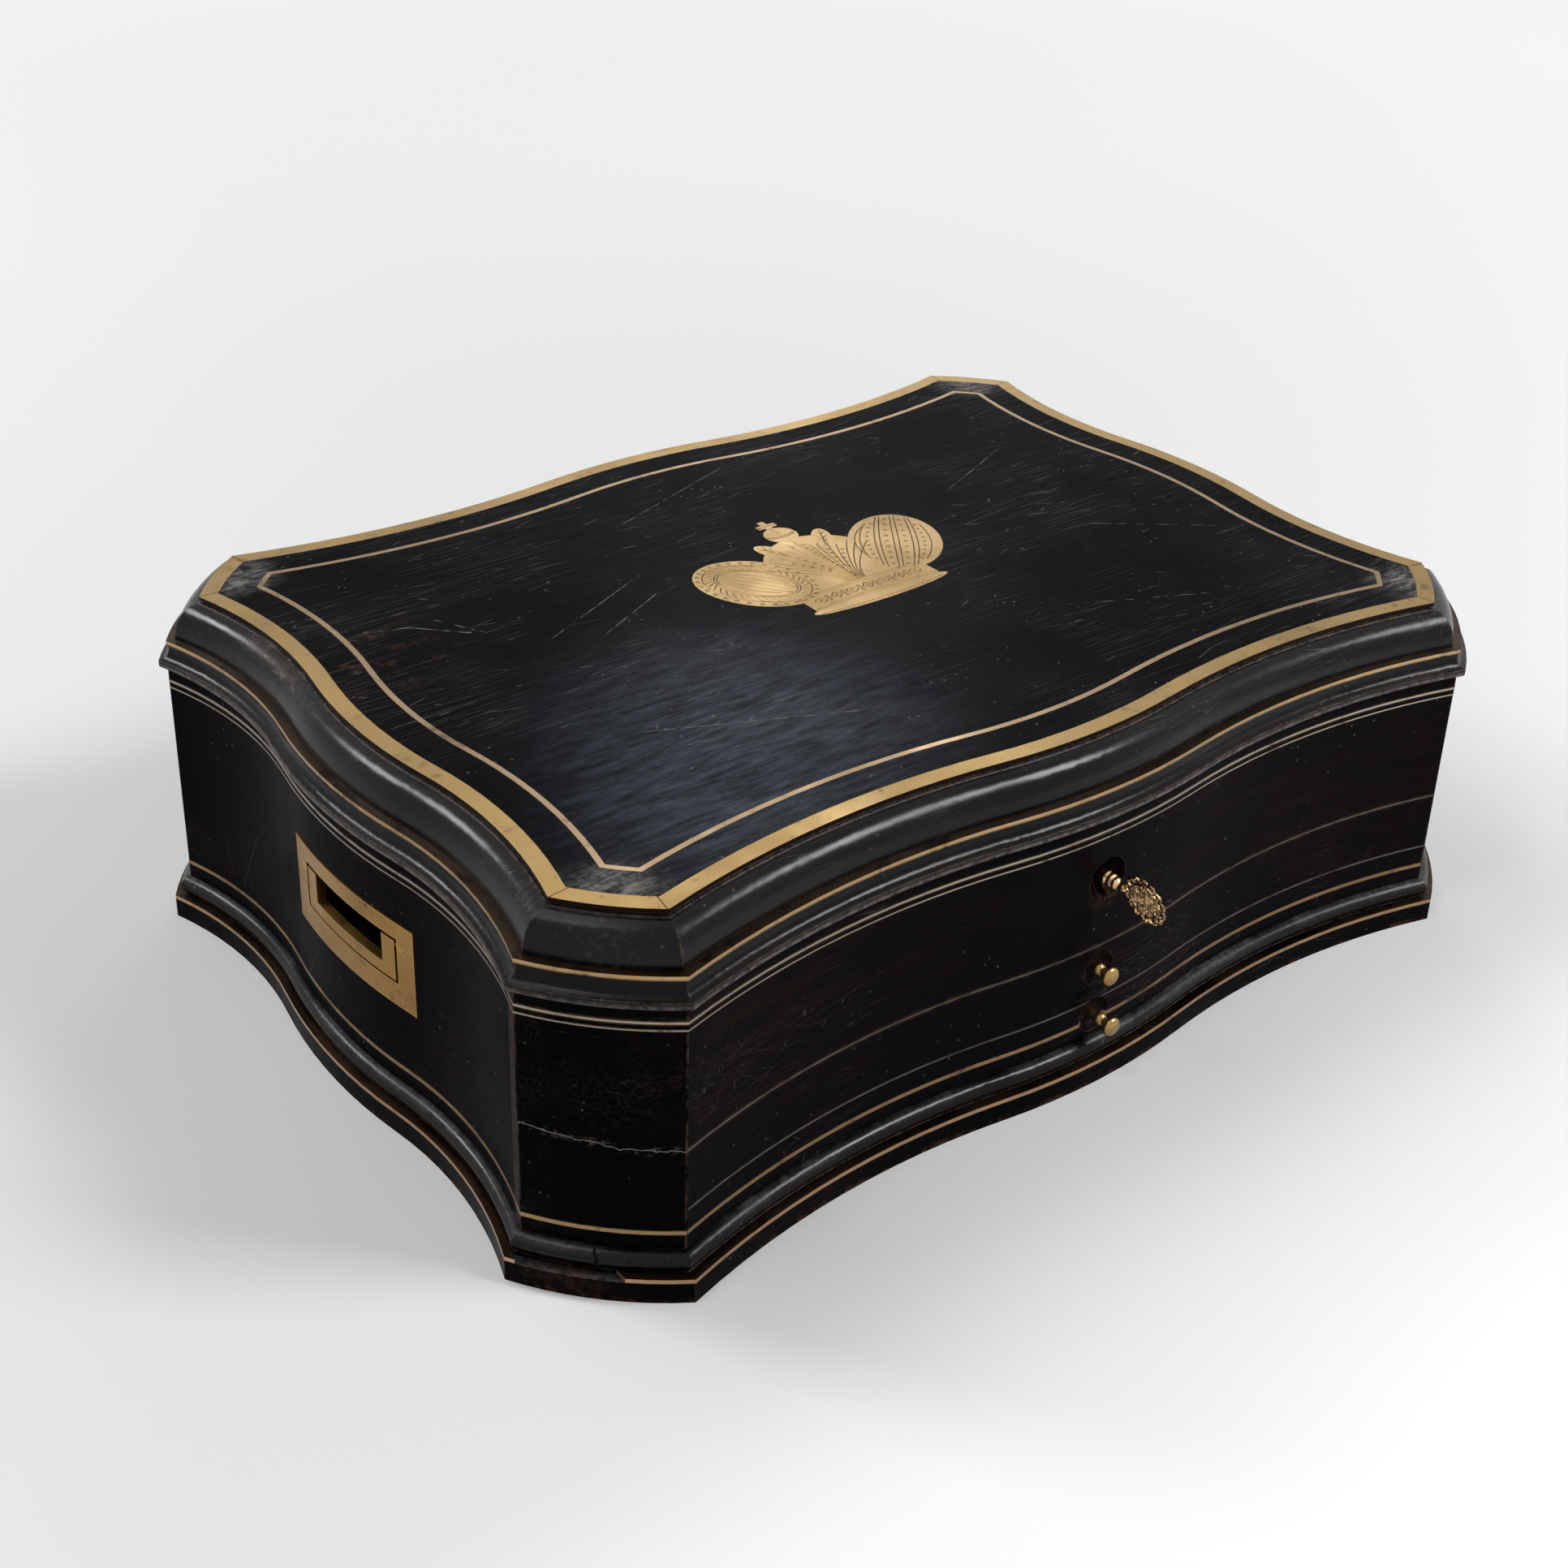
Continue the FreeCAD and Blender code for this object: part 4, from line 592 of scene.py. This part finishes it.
def velvet(name, colour):
    """Cloth with a short pile, brushed in patches."""
    t = Tree(name)
    brushed = t.patches(11, 0.35, 0.7, 3.0, 0.6)
    shade = t.blend(brushed, colour, [value * 0.55 for value in colour])
    pile = t.noise(2600, 2.0, 0.7)
    t.set(Base_Color=shade, Roughness=0.85, Sheen_Weight=0.6, Sheen_Roughness=0.35, Specular_IOR_Level=0.2,
          Normal=t.bump(pile, 0.5, 0.0004))
    return t.material


# Which node takes which finish: first by the slot, then the visible pieces by name

wall_polish = ebony("polish_wall", 0.2, 1.055, 0.5)
gilt = brass("brass_line", LINE_BRASS, 0.6, 0.3, extra=line_marks)
fittings = brass("brass_fitting", HANDLE_BRASS, 0.55, 0.26, edge=0.0012, spread=40)
mahogany = hardwood("waxed_mahogany", (0.2, 0.07, 0.03), (0.09, 0.028, 0.013))
cedar = hardwood("waxed_cedar", (0.38, 0.2, 0.09), (0.24, 0.11, 0.045))
cloth = velvet("velvet", (0.16, 0.012, 0.02))

SLOT_FINISH = {"ebonised_wood": wall_polish, "worn_brass": gilt, "brass": fittings, "inner_wood": mahogany,
               "drawer_wood": cedar, "lining": cloth}
for entry in frame["record"]["subparts"]:
    finish_node(SLOT_FINISH[entry["material_slot"]], entry["node"])

finish_node(ebony("polish_lid", 0.24, 1.047, 0.15, lid_wear, haze_and_sheen=lid_haze_and_sheen, fine=0.15), "lid_panel")
finish_node(ebony("polish_ovolo", 0.17, 1.26, 0.3, frame_wear, edge=0.0011), "lid_frame")
finish_node(ebony("polish_moulding", 0.15, 1.22, 0.5, moulding_wear_and_highlight, edge=0.0008), "lid_rim", "case_lip")
finish_node(ebony("polish_bead", 0.15, 1.26, 0.5, bead_wear, crack=bead_crack), "base_bead")
finish_node(ebony("polish_plinth", 0.24, 1.07, 0.6, plinth_wear), "plinth")
finish_node(ebony("polish_front", 0.2, 1.055, 0.7, front_wear_and_highlight, black=LIT_WALL_BLACK),
            "front_panel", "drawer_upper_front", "drawer_lower_front")
finish_node(ebony("polish_post", 0.2, 1.06, 0.6, post_wear, edge=0.0009),
            *[f"corner_post_{end}_{side}" for end in ("front", "back") for side in ("left", "right")])
finish_node(ebony("polish_side", 0.22, 1.045, 0.6, side_wear_and_sheen, black=LIT_WALL_BLACK), "side_left", "side_right")
finish_node(brass("brass_band", BAND_BRASS, 0.5, 0.36, extra=band_marks), "lid_band")
finish_node(brass("brass_fillet", FILLET_BRASS, 0.45, 0.3, extra=fillet_marks), "lid_fillet")
finish_node(brass("brass_string", STRING_BRASS, 0.5, 0.3, extra=string_marks), "lid_string")
finish_node(brass("brass_upper_line", PALE_BRASS, 0.4, 0.3, extra=upper_marks), "upper_string")
finish_node(brass("brass_hairline", PALE_BRASS, 0.7, 0.3, extra=line_marks), "upper_hairline")
finish_node(brass("brass_base", BASE_BRASS, 0.4, 0.3, extra=ledge_marks), "plinth_fillet")
finish_node(brass("brass_knob", KNOB_BRASS, 0.35, 0.2, spread=160), "knob_upper", "knob_lower")
inlay_brass = brass("brass_inlay", INLAY_BRASS, 0.28, 0.3, extra=engraved)
key_brass = brass("brass_key", KEY_BRASS, 0.3, 0.16, extra=recesses, spread=120)


# Pieces: a new mesh object that rides on a body and stands for a node

def new_piece(name, work, material, body, node, smooth=True):
    """Makes an object of the mesh being worked on."""
    mesh = bpy.data.meshes.new(name)
    work.to_mesh(mesh)
    work.free()
    mesh.materials.append(material)
    piece = bpy.data.objects.new(name, mesh)
    bpy.context.scene.collection.objects.link(piece)
    for polygon in mesh.polygons:
        polygon.use_smooth = smooth
    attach(piece, body)
    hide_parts(node)
    return piece


# Inlay: the crown's plate with V-shaped engraving, in millimetres seen from above

CROWN_X = 9.3
GROOVE_HALF = 0.3
GROOVE_DEPTH = 0.24
RIM_GAP = 0.25
BAND_HALF = 31
FAN_FOOT = -5.6
LOBE_OUT = 36.5
LOBE_UP = 13.7
LEFT_LOBE_TURN = 125
RIGHT_LOBE_TURN = 55


def arc(middle, half_width, half_height, first, last, turn=0.0, steps=20):
    """Points on a turned ellipse; both ends are angles in degrees."""
    angles = [math.radians(first + (last - first) * step / steps) for step in range(steps + 1)]
    points = [(half_width * math.cos(angle), half_height * math.sin(angle)) for angle in angles]
    return placed(points, middle, turn)


def placed(points, middle, turn):
    """Points turned by an angle in degrees and moved to a middle."""
    cos_turn, sin_turn = math.cos(math.radians(turn)), math.sin(math.radians(turn))
    return [(middle[0] + x * cos_turn - y * sin_turn, middle[1] + x * sin_turn + y * cos_turn)
            for x, y in points]


def mirrored(lines):
    """The same lines on the other side of the crown's middle."""
    return [[(2 * CROWN_X - x, y) for x, y in line] for line in lines]


def pearl(x, y, radius=0.6):
    """A small ring."""
    return arc((x, y), radius, radius, 0, 360, steps=8)


def flute(across, reach, waist):
    """A line along a lobe, bowed outwards as on a melon."""
    steps = [step / 8 - 1 for step in range(17)]
    return [(reach * step, across * (1 - waist * step * step)) for step in steps]


def foot_and_band():
    """A corded foot, and a band of lozenges and ovals with pearls between them."""
    lines = [arc((CROWN_X, -21.5), 33, 2.4, 200, 340)]
    for number in range(25):
        x = CROWN_X - 28.8 + 2.4 * number
        drop = 4.1 * math.sqrt(1 - ((x - CROWN_X) / 34.5) ** 2)
        lines.append([(x, -21.9 - 0.5 * drop), (x + 0.4, -21.6 - 0.86 * drop)])
    for level in (-19.6, -18.4, -9.2, -7.6):
        lines.append(arc((CROWN_X, level), BAND_HALF, 1.6, 180, 0))
    for number in range(7):
        x = CROWN_X - 24.6 + 8.2 * number
        y = -13.8 + 1.4 * math.sqrt(1 - ((x - CROWN_X) / BAND_HALF) ** 2)
        if number % 2:
            lines.append([(x - 2.7, y), (x, y + 2.6), (x + 2.7, y), (x, y - 2.6), (x - 2.7, y)])
        else:
            lines.append(arc((x, y), 2.7, 1.9, 0, 360, steps=12))
        lines.append(pearl(x, y))
    for number in range(6):
        x = CROWN_X - 20.5 + 8.2 * number
        lines += [pearl(x, level) for level in (-10.9, -12.8, -14.7)]
    return lines


def fan():
    """One half of the fan, which is then mirrored, and the pearled rib in its middle."""
    half = []
    for number, spread in enumerate((3.4, 5.6, 9.0, 11.4, 15.0, 17.4, 21.5)):
        foot = CROWN_X + 1.1 * (number + 1) * 0.55
        rise = 37 - 1.9 * number
        shares = [step / 12 for step in range(13)]
        half.append([(foot + spread * share ** 1.5, FAN_FOOT + rise * share) for share in shares])
    for spread, rise in ((7.5, 33), (13.6, 29)):
        for share in (0.4, 0.52, 0.64, 0.76, 0.88):
            half.append(pearl(CROWN_X + spread * share ** 1.5 + 1.6, FAN_FOOT + rise * share))
    half.append([(CROWN_X + 9.6, 27), (CROWN_X + 13.2, 33.4), (CROWN_X + 16.0, 40)])
    for share in (0.25, 0.5, 0.75):
        x, y = CROWN_X + 9.6 + 6.4 * share, 27 + 13 * share
        half.append([(x, y), (x + 2.2, y + 0.9)])
        half.append([(x, y), (x - 0.4, y + 2.8)])
    middle = [[(CROWN_X, FAN_FOOT), (CROWN_X, 36)]]
    middle += [pearl(CROWN_X + 1.5, -2.5 + 2.9 * number) for number in range(13)]
    return half + mirrored(half) + middle


def left_lobe():
    """A gadrooned border round a fluted middle."""
    middle = (CROWN_X - LOBE_OUT, LOBE_UP)
    lines = [arc(middle, 23.0, 15.9, 0, 360, LEFT_LOBE_TURN, 40),
             arc(middle, 18.2, 11.6, 0, 360, LEFT_LOBE_TURN, 36),
             arc(middle, 17.0, 10.4, 0, 360, LEFT_LOBE_TURN, 36)]
    for number in range(36):
        angle = math.radians(10 * number)
        lean = math.radians(10 * number + 9)
        lines.append(placed([(19.2 * math.cos(angle), 12.6 * math.sin(angle)),
                             (22.0 * math.cos(lean), 14.9 * math.sin(lean))], middle, LEFT_LOBE_TURN))
    for spot in arc(middle, 25.0, 18.0, 0, 348, LEFT_LOBE_TURN, 29):
        lines.append(pearl(*spot, 0.7))
    for across in (-6.6, -3.3, 0, 3.3, 6.6):
        reach = 15.2 * math.sqrt(1 - (across / 9.6) ** 2)
        lines.append(placed(flute(across, reach, 0.3), middle, LEFT_LOBE_TURN))
    return lines


def right_lobe():
    """Paired flutes with rows of pearls between some of them."""
    middle = (CROWN_X + LOBE_OUT, LOBE_UP)
    waist = 0.22
    lines = []
    for across in (17.2, 15.0, 8.6, 6.4, 0.6, -1.6, -7.4, -9.6, -15.2):
        reach = 25.4 * math.sqrt(1 - (across / 20.5) ** 2)
        lines.append(placed(flute(across, reach, waist), middle, RIGHT_LOBE_TURN))
    for across, radius in ((11.8, 0.55), (3.5, 0.7), (-4.5, 0.55), (-12.4, 0.55)):
        reach = 22.5 * math.sqrt(1 - (across / 18.5) ** 2)
        row = flute(across, reach, waist)[::2]
        lines += [pearl(*spot, radius) for spot in placed(row, middle, RIGHT_LOBE_TURN)]
    return lines


def orb_and_cross():
    """Two curved lines across the orb, and the cross's shaft and arms."""
    return [arc((CROWN_X, 45.5), 7.4, 2.2, 180, 360), arc((CROWN_X, 46.6), 7.2, 2.2, 190, 350),
            [(CROWN_X, 46.2), (CROWN_X, 52.4)], [(CROWN_X - 3, 55.9), (CROWN_X + 3, 55.9)]]


def plate_outline(node):
    """The edge of a plate's upper face, as one loop of points in millimetres."""
    mesh = NODES[node].data
    high = max(vertex.co.z for vertex in mesh.vertices) - 0.01 * MM
    sides = []
    for polygon in mesh.polygons:
        if all(mesh.vertices[index].co.z > high for index in polygon.vertices):
            corners = [tuple(round(value, 3) for value in mesh.vertices[index].co.xy / MM)
                       for index in polygon.vertices]
            sides += zip(corners, corners[1:] + corners[:1])
    reversed_sides = {(end, start) for start, end in sides}
    following = {start: end for start, end in sides if (start, end) not in reversed_sides and start != end}
    first = next(iter(following))
    loop = [first]
    while following[loop[-1]] != first:
        loop.append(following[loop[-1]])
    return loop


def beside(line, gap):
    """A line's points moved to its left."""
    moved = []
    for number, (x, y) in enumerate(line):
        before = line[max(0, number - 1)]
        after = line[min(len(line) - 1, number + 1)]
        run = math.dist(before, after) or 1.0
        moved.append((x - gap * (after[1] - before[1]) / run, y + gap * (after[0] - before[0]) / run))
    return moved


def gap_to(point, start, end):
    """Distance from a point to a segment."""
    along = end - start
    share = max(0.0, min(1.0, (point - start).dot(along) / (along.length_squared or 1.0)))
    return (point - start - along * share).length


def squares_near(start, end):
    """The one-millimetre squares that a groove between two points may touch."""
    columns, rows = [range(math.floor(min(pair) - 0.5), math.floor(max(pair) + 0.5) + 1)
                     for pair in zip(start, end)]
    return [(column, row) for column in columns for row in rows]


def engraved_plate(outline):
    """Triangles that fill the outline and follow every groove, and for each point its depth."""
    rim = list(zip(outline, outline[1:] + outline[:1]))
    points = list(outline)
    edges = [(number, (number + 1) % len(outline)) for number in range(len(outline))]
    near = {}
    for line in foot_and_band() + fan() + left_lobe() + right_lobe() + orb_and_cross():
        line = [point for point in line
                if min(gap_to(Vector(point), *part) for part in rim) > GROOVE_HALF + RIM_GAP]
        if len(line) < 2:
            continue
        for start, end in zip(line, line[1:]):
            for square in squares_near(start, end):
                near.setdefault(square, []).append((Vector(start), Vector(end)))
        for gap in (-GROOVE_HALF, 0, GROOVE_HALF):
            first = len(points)
            points += [Vector(point) for point in beside(line, gap)]
            edges += [(number, number + 1) for number in range(first, len(points) - 1)]
    flat, _, faces, _, _, _ = delaunay_2d_cdt(points, edges, [list(range(len(outline)))], 1, 0.001)
    depths = []
    for point in flat:
        grooves = near.get((math.floor(point.x), math.floor(point.y)), [])
        gap = min([gap_to(point, *groove) for groove in grooves] + [GROOVE_HALF])
        depths.append(GROOVE_DEPTH * (1 - gap / GROOVE_HALF))
    return flat, depths, faces


def make_crown():
    """The engraved plate, closed by a skirt and an underside at the solid's own levels."""
    flat, depths, faces = engraved_plate([Vector(point) for point in plate_outline("lid_inlay")])
    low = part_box("lid_inlay")[0][2]
    work = bmesh.new()
    above = [work.verts.new((point.x * MM, point.y * MM, LID_TOP - depth * MM))
             for point, depth in zip(flat, depths)]
    for face in faces:
        work.faces.new([above[number] for number in face])
    rim = [edge for edge in work.edges if len(edge.link_faces) == 1]
    skirt = bmesh.ops.extrude_edge_only(work, edges=rim)["geom"]
    lower = {item for item in skirt if isinstance(item, bmesh.types.BMVert)}
    for vertex in lower:
        vertex.co.z = low
    foot = [item for item in skirt if isinstance(item, bmesh.types.BMEdge) and lower.issuperset(item.verts)]
    bmesh.ops.contextual_create(work, geom=foot)
    bmesh.ops.recalc_face_normals(work, faces=work.faces)
    bmesh.ops.triangulate(work, faces=[face for face in work.faces if len(face.verts) > 4])
    return new_piece("lid_inlay_crown", work, inlay_brass, "lid", "lid_inlay", smooth=False)


# Key: turned collars and a bow of fine scrolls, in millimetres, built along its axis and then leaned

KEY_LEVEL = 88.0
KEY_LEAN = 12.0
BIT_MIDDLE = (0, -149.0, -4.1)
BIT_SIZE = (2.2, 4.0, 8.2)
TURNED_SIDES = 24
STEM_RADIUS = 1.7
COLLARS = ((-163.4, STEM_RADIUS), (-163.9, 2.4), (-164.7, 3.0), (-165.5, 2.9), (-166.0, 2.2), (-166.5, 2.3),
           (-167.1, 2.85), (-167.9, 2.8), (-168.4, 2.1), (-168.9, 2.0), (-169.5, 2.5), (-170.3, 2.45),
           (-170.8, 1.6), (-171.6, 1.3), (-172.4, 1.5), (-173.2, 1.9), (-174.0, 1.4), (-174.8, 0.8))

BOW_Y = -183.8
BOW_RING = 7.0
BOW_WIRE = 0.5
PETALS = 14
PETAL_RING = 8.0
PETAL_RADIUS = 1.8
TIP_RING = 9.4
TIP_RADIUS = 0.7
BARS = (-3.9, -1.3, 1.3, 3.9)
BAR_WIRE = 0.36
SCROLL_COLUMNS = ((-2.6, 1), (0, -1), (2.6, 1), (-5.4, -1), (5.4, 1))
SCROLL_WIRE = 0.3
BOW_BEADS = ((-2.6, 2.1), (-2.6, -2.1), (2.6, 2.1), (2.6, -2.1), (0, 2.1), (0, -2.1))
BOW_BEAD_RADIUS = 0.55


def tube(work, points, radius, closed=False, sides=8):
    """A round bar along points, with flat ends where it is open."""
    count = len(points)
    rings = []
    for number, point in enumerate(points):
        before = points[number - 1] if closed or number else point
        after = points[(number + 1) % count] if closed or number < count - 1 else point
        along = (after - before).normalized()
        side = along.cross(Vector((1, 0, 0))).normalized()
        up = side.cross(along)
        angles = [2 * math.pi * corner / sides for corner in range(sides)]
        rings.append([work.verts.new(point + side * math.cos(angle) * radius + up * math.sin(angle) * radius)
                      for angle in angles])
    join_rings(work, rings, closed)


def turned(work, profile):
    """A turned shape from (y, radius) pairs along the key's axis."""
    angles = [2 * math.pi * corner / TURNED_SIDES for corner in range(TURNED_SIDES)]
    rings = [[work.verts.new((radius * math.cos(angle), y, radius * math.sin(angle))) for angle in angles]
             for y, radius in profile]
    join_rings(work, rings)


def join_rings(work, rings, closed=False):
    """Faces between rings of points, and over both ends where the row isn't closed."""
    pairs = list(zip(rings, rings[1:])) + ([(rings[-1], rings[0])] if closed else [])
    sides = len(rings[0])
    for first, second in pairs:
        for corner in range(sides):
            beyond = (corner + 1) % sides
            work.faces.new((first[corner], first[beyond], second[beyond], second[corner]))
    if not closed:
        work.faces.new(rings[0][::-1])
        work.faces.new(rings[-1])


def in_bow(points):
    """Points of the bow's own plane, from across and up to the key's frame."""
    return [Vector((0, BOW_Y + across, up)) for across, up in points]


def bow_bead(work, place, radius):
    """A small ball in the bow's plane."""
    ball = bmesh.ops.create_icosphere(work, subdivisions=2, radius=radius)["verts"]
    bmesh.ops.translate(work, vec=in_bow([place])[0], verts=ball)


def add_petals(work):
    """Open loops round the bow's ring, each with a ball at its tip."""
    for number in range(PETALS):
        angle = 360 * (number + 0.5) / PETALS
        across, up = math.cos(math.radians(angle)), math.sin(math.radians(angle))
        middle = (PETAL_RING * across, PETAL_RING * up)
        loop = arc(middle, PETAL_RADIUS, PETAL_RADIUS, angle - 112, angle + 112, steps=10)
        tube(work, in_bow(loop), BOW_WIRE)
        bow_bead(work, (TIP_RING * across, TIP_RING * up), TIP_RADIUS)


def add_scrolls(work):
    """Upright bars inside the ring, with scrolls and balls between them."""
    for across in BARS:
        reach = math.sqrt(BOW_RING ** 2 - across ** 2)
        tube(work, in_bow([(across, -reach), (across, reach)]), BAR_WIRE)
    for across, turn in SCROLL_COLUMNS:
        for up in (-4.2, 0, 4.2) if abs(across) < 5 else (-1.6, 2.2):
            scroll = arc((across, up + 1.0), 0.8, 1.0, 250, -20, steps=8)
            scroll += arc((across, up - 1.0), 0.8, 1.0, 160, 430, steps=8)
            tube(work, in_bow([(across + (x - across) * turn, y) for x, y in scroll]), SCROLL_WIRE, sides=6)
    for place in BOW_BEADS:
        bow_bead(work, place, BOW_BEAD_RADIUS)


def make_key():
    """The whole key, leaned as it stands in the lock."""
    stem_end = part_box("key")[1][1] / MM
    work = bmesh.new()
    turned(work, [(stem_end, STEM_RADIUS), *COLLARS])
    bit = bmesh.ops.create_cube(work, size=1)["verts"]
    bmesh.ops.scale(work, vec=BIT_SIZE, verts=bit)
    bmesh.ops.translate(work, vec=BIT_MIDDLE, verts=bit)
    tube(work, in_bow(arc((0, 0), BOW_RING, BOW_RING, 0, 360, steps=36)[:-1]), BOW_WIRE, True)
    add_petals(work)
    add_scrolls(work)
    lean = Matrix.Rotation(math.radians(-KEY_LEAN), 4, "Y")
    bmesh.ops.transform(work, matrix=Matrix.Scale(MM, 4) @ Matrix.Translation((0, 0, KEY_LEVEL)) @ lean,
                        verts=work.verts)
    bmesh.ops.recalc_face_normals(work, faces=work.faces)
    return new_piece("key_scrolled", work, key_brass, "key", "key")


make_crown()
make_key()


# Floor, lamps and world: a plain pale studio; what the eye sees of floor and world is made paler

FLOOR_HALF = 6.0
FLOOR_ALBEDO = 0.68
GLOW_MIDDLE = (-0.076, 0.21, 0)
GLOW_REACH = (0.09, 2.24)
GLOW = (0.08, 0.71)
FRONT_GLOW = 0.16
PAPER = 0.905
AMBIENT = 0.12


def seen_directly(tree):
    """One for a ray from the eye or a mirror-like surface, which sees the pale background."""
    path = tree.nodes.new("ShaderNodeLightPath")
    total = path.outputs["Is Camera Ray"]
    for other in ("Is Glossy Ray", "Is Transmission Ray"):
        node = tree.nodes.new("ShaderNodeMath")
        node.operation = "MAXIMUM"
        tree.links.new(total, node.inputs[0])
        tree.links.new(path.outputs[other], node.inputs[1])
        total = node.outputs[0]
    return total


def make_floor():
    """A pale floor that glows a little more with distance, and keeps the box's shadow."""
    mesh = bpy.data.meshes.new("floor")
    corners = [(x * FLOOR_HALF, y * FLOOR_HALF, 0) for x, y in ((-1, -1), (1, -1), (1, 1), (-1, 1))]
    mesh.from_pydata(corners, [], [(0, 1, 2, 3)])
    floor = bpy.data.objects.new("floor", mesh)
    bpy.context.scene.collection.objects.link(floor)
    t = Tree("paper_floor")
    away = t.add("ShaderNodeVectorMath", {0: t.place, 1: GLOW_MIDDLE}, operation="DISTANCE").outputs["Value"]
    front = t.remap(t.axis("Y"), -0.2, -0.3, 0, FRONT_GLOW)
    glow = t.times(seen_directly(t.tree), t.plus(t.remap(away, *GLOW_REACH, *GLOW), front))
    grey = t.times(t.remap(t.noise(3.0), 0.3, 0.7, 0.995, 1.0), FLOOR_ALBEDO)
    paper = t.add("ShaderNodeCombineColor", {0: grey, 1: grey, 2: grey}).outputs[0]
    t.set(Base_Color=paper, Roughness=0.9, Specular_IOR_Level=0.0, Emission_Color=(1, 1, 1, 1),
          Emission_Strength=glow)
    mesh.materials.append(t.material)


def make_world():
    """Even white light, which is bright to the eye and dim on the box."""
    world = bpy.data.worlds.new("studio")
    bpy.context.scene.world = world
    world.use_nodes = True
    tree = world.node_tree
    background = tree.nodes["Background"]
    background.inputs["Color"].default_value = (1, 1, 1, 1)
    strength = tree.nodes.new("ShaderNodeMapRange")
    tree.links.new(seen_directly(tree), strength.inputs[0])
    strength.inputs[3].default_value = AMBIENT
    strength.inputs[4].default_value = PAPER
    tree.links.new(strength.outputs[0], background.inputs["Strength"])


def lamp(name, place, aim, size, power):
    """A soft rectangular lamp that points at a place."""
    data = bpy.data.lights.new(name, "AREA")
    data.shape = "RECTANGLE"
    data.size, data.size_y = size
    data.energy = power
    item = bpy.data.objects.new(name, data)
    bpy.context.scene.collection.objects.link(item)
    item.location = place
    item.rotation_euler = (Vector(aim) - Vector(place)).to_track_quat("-Z", "Y").to_euler()


def make_lamps():
    """Two main lamps, at the left back and the right front, and three weaker ones."""
    centre = (0, 0, 0.08)
    lamp("overhead", (-0.5, 0.45, 1.55), centre, (1.1, 0.8), 7)
    lamp("left_high", (-0.95, 1.2, 1.2), centre, (0.4, 0.42), 13)
    lamp("right_high", (0.92, -1.08, 1.36), centre, (0.5, 0.56), 24)
    lamp("corner_high", (-0.9, -0.14, 1.8), centre, (0.2, 0.3), 2.5)
    lamp("haze", (0.8, 1.0, 0.97), (-0.08, -0.08, 0.14), (0.34, 0.22), 2.4)


make_camera()
make_floor()
make_world()
make_lamps()
bpy.context.scene.view_settings.view_transform = "Standard"
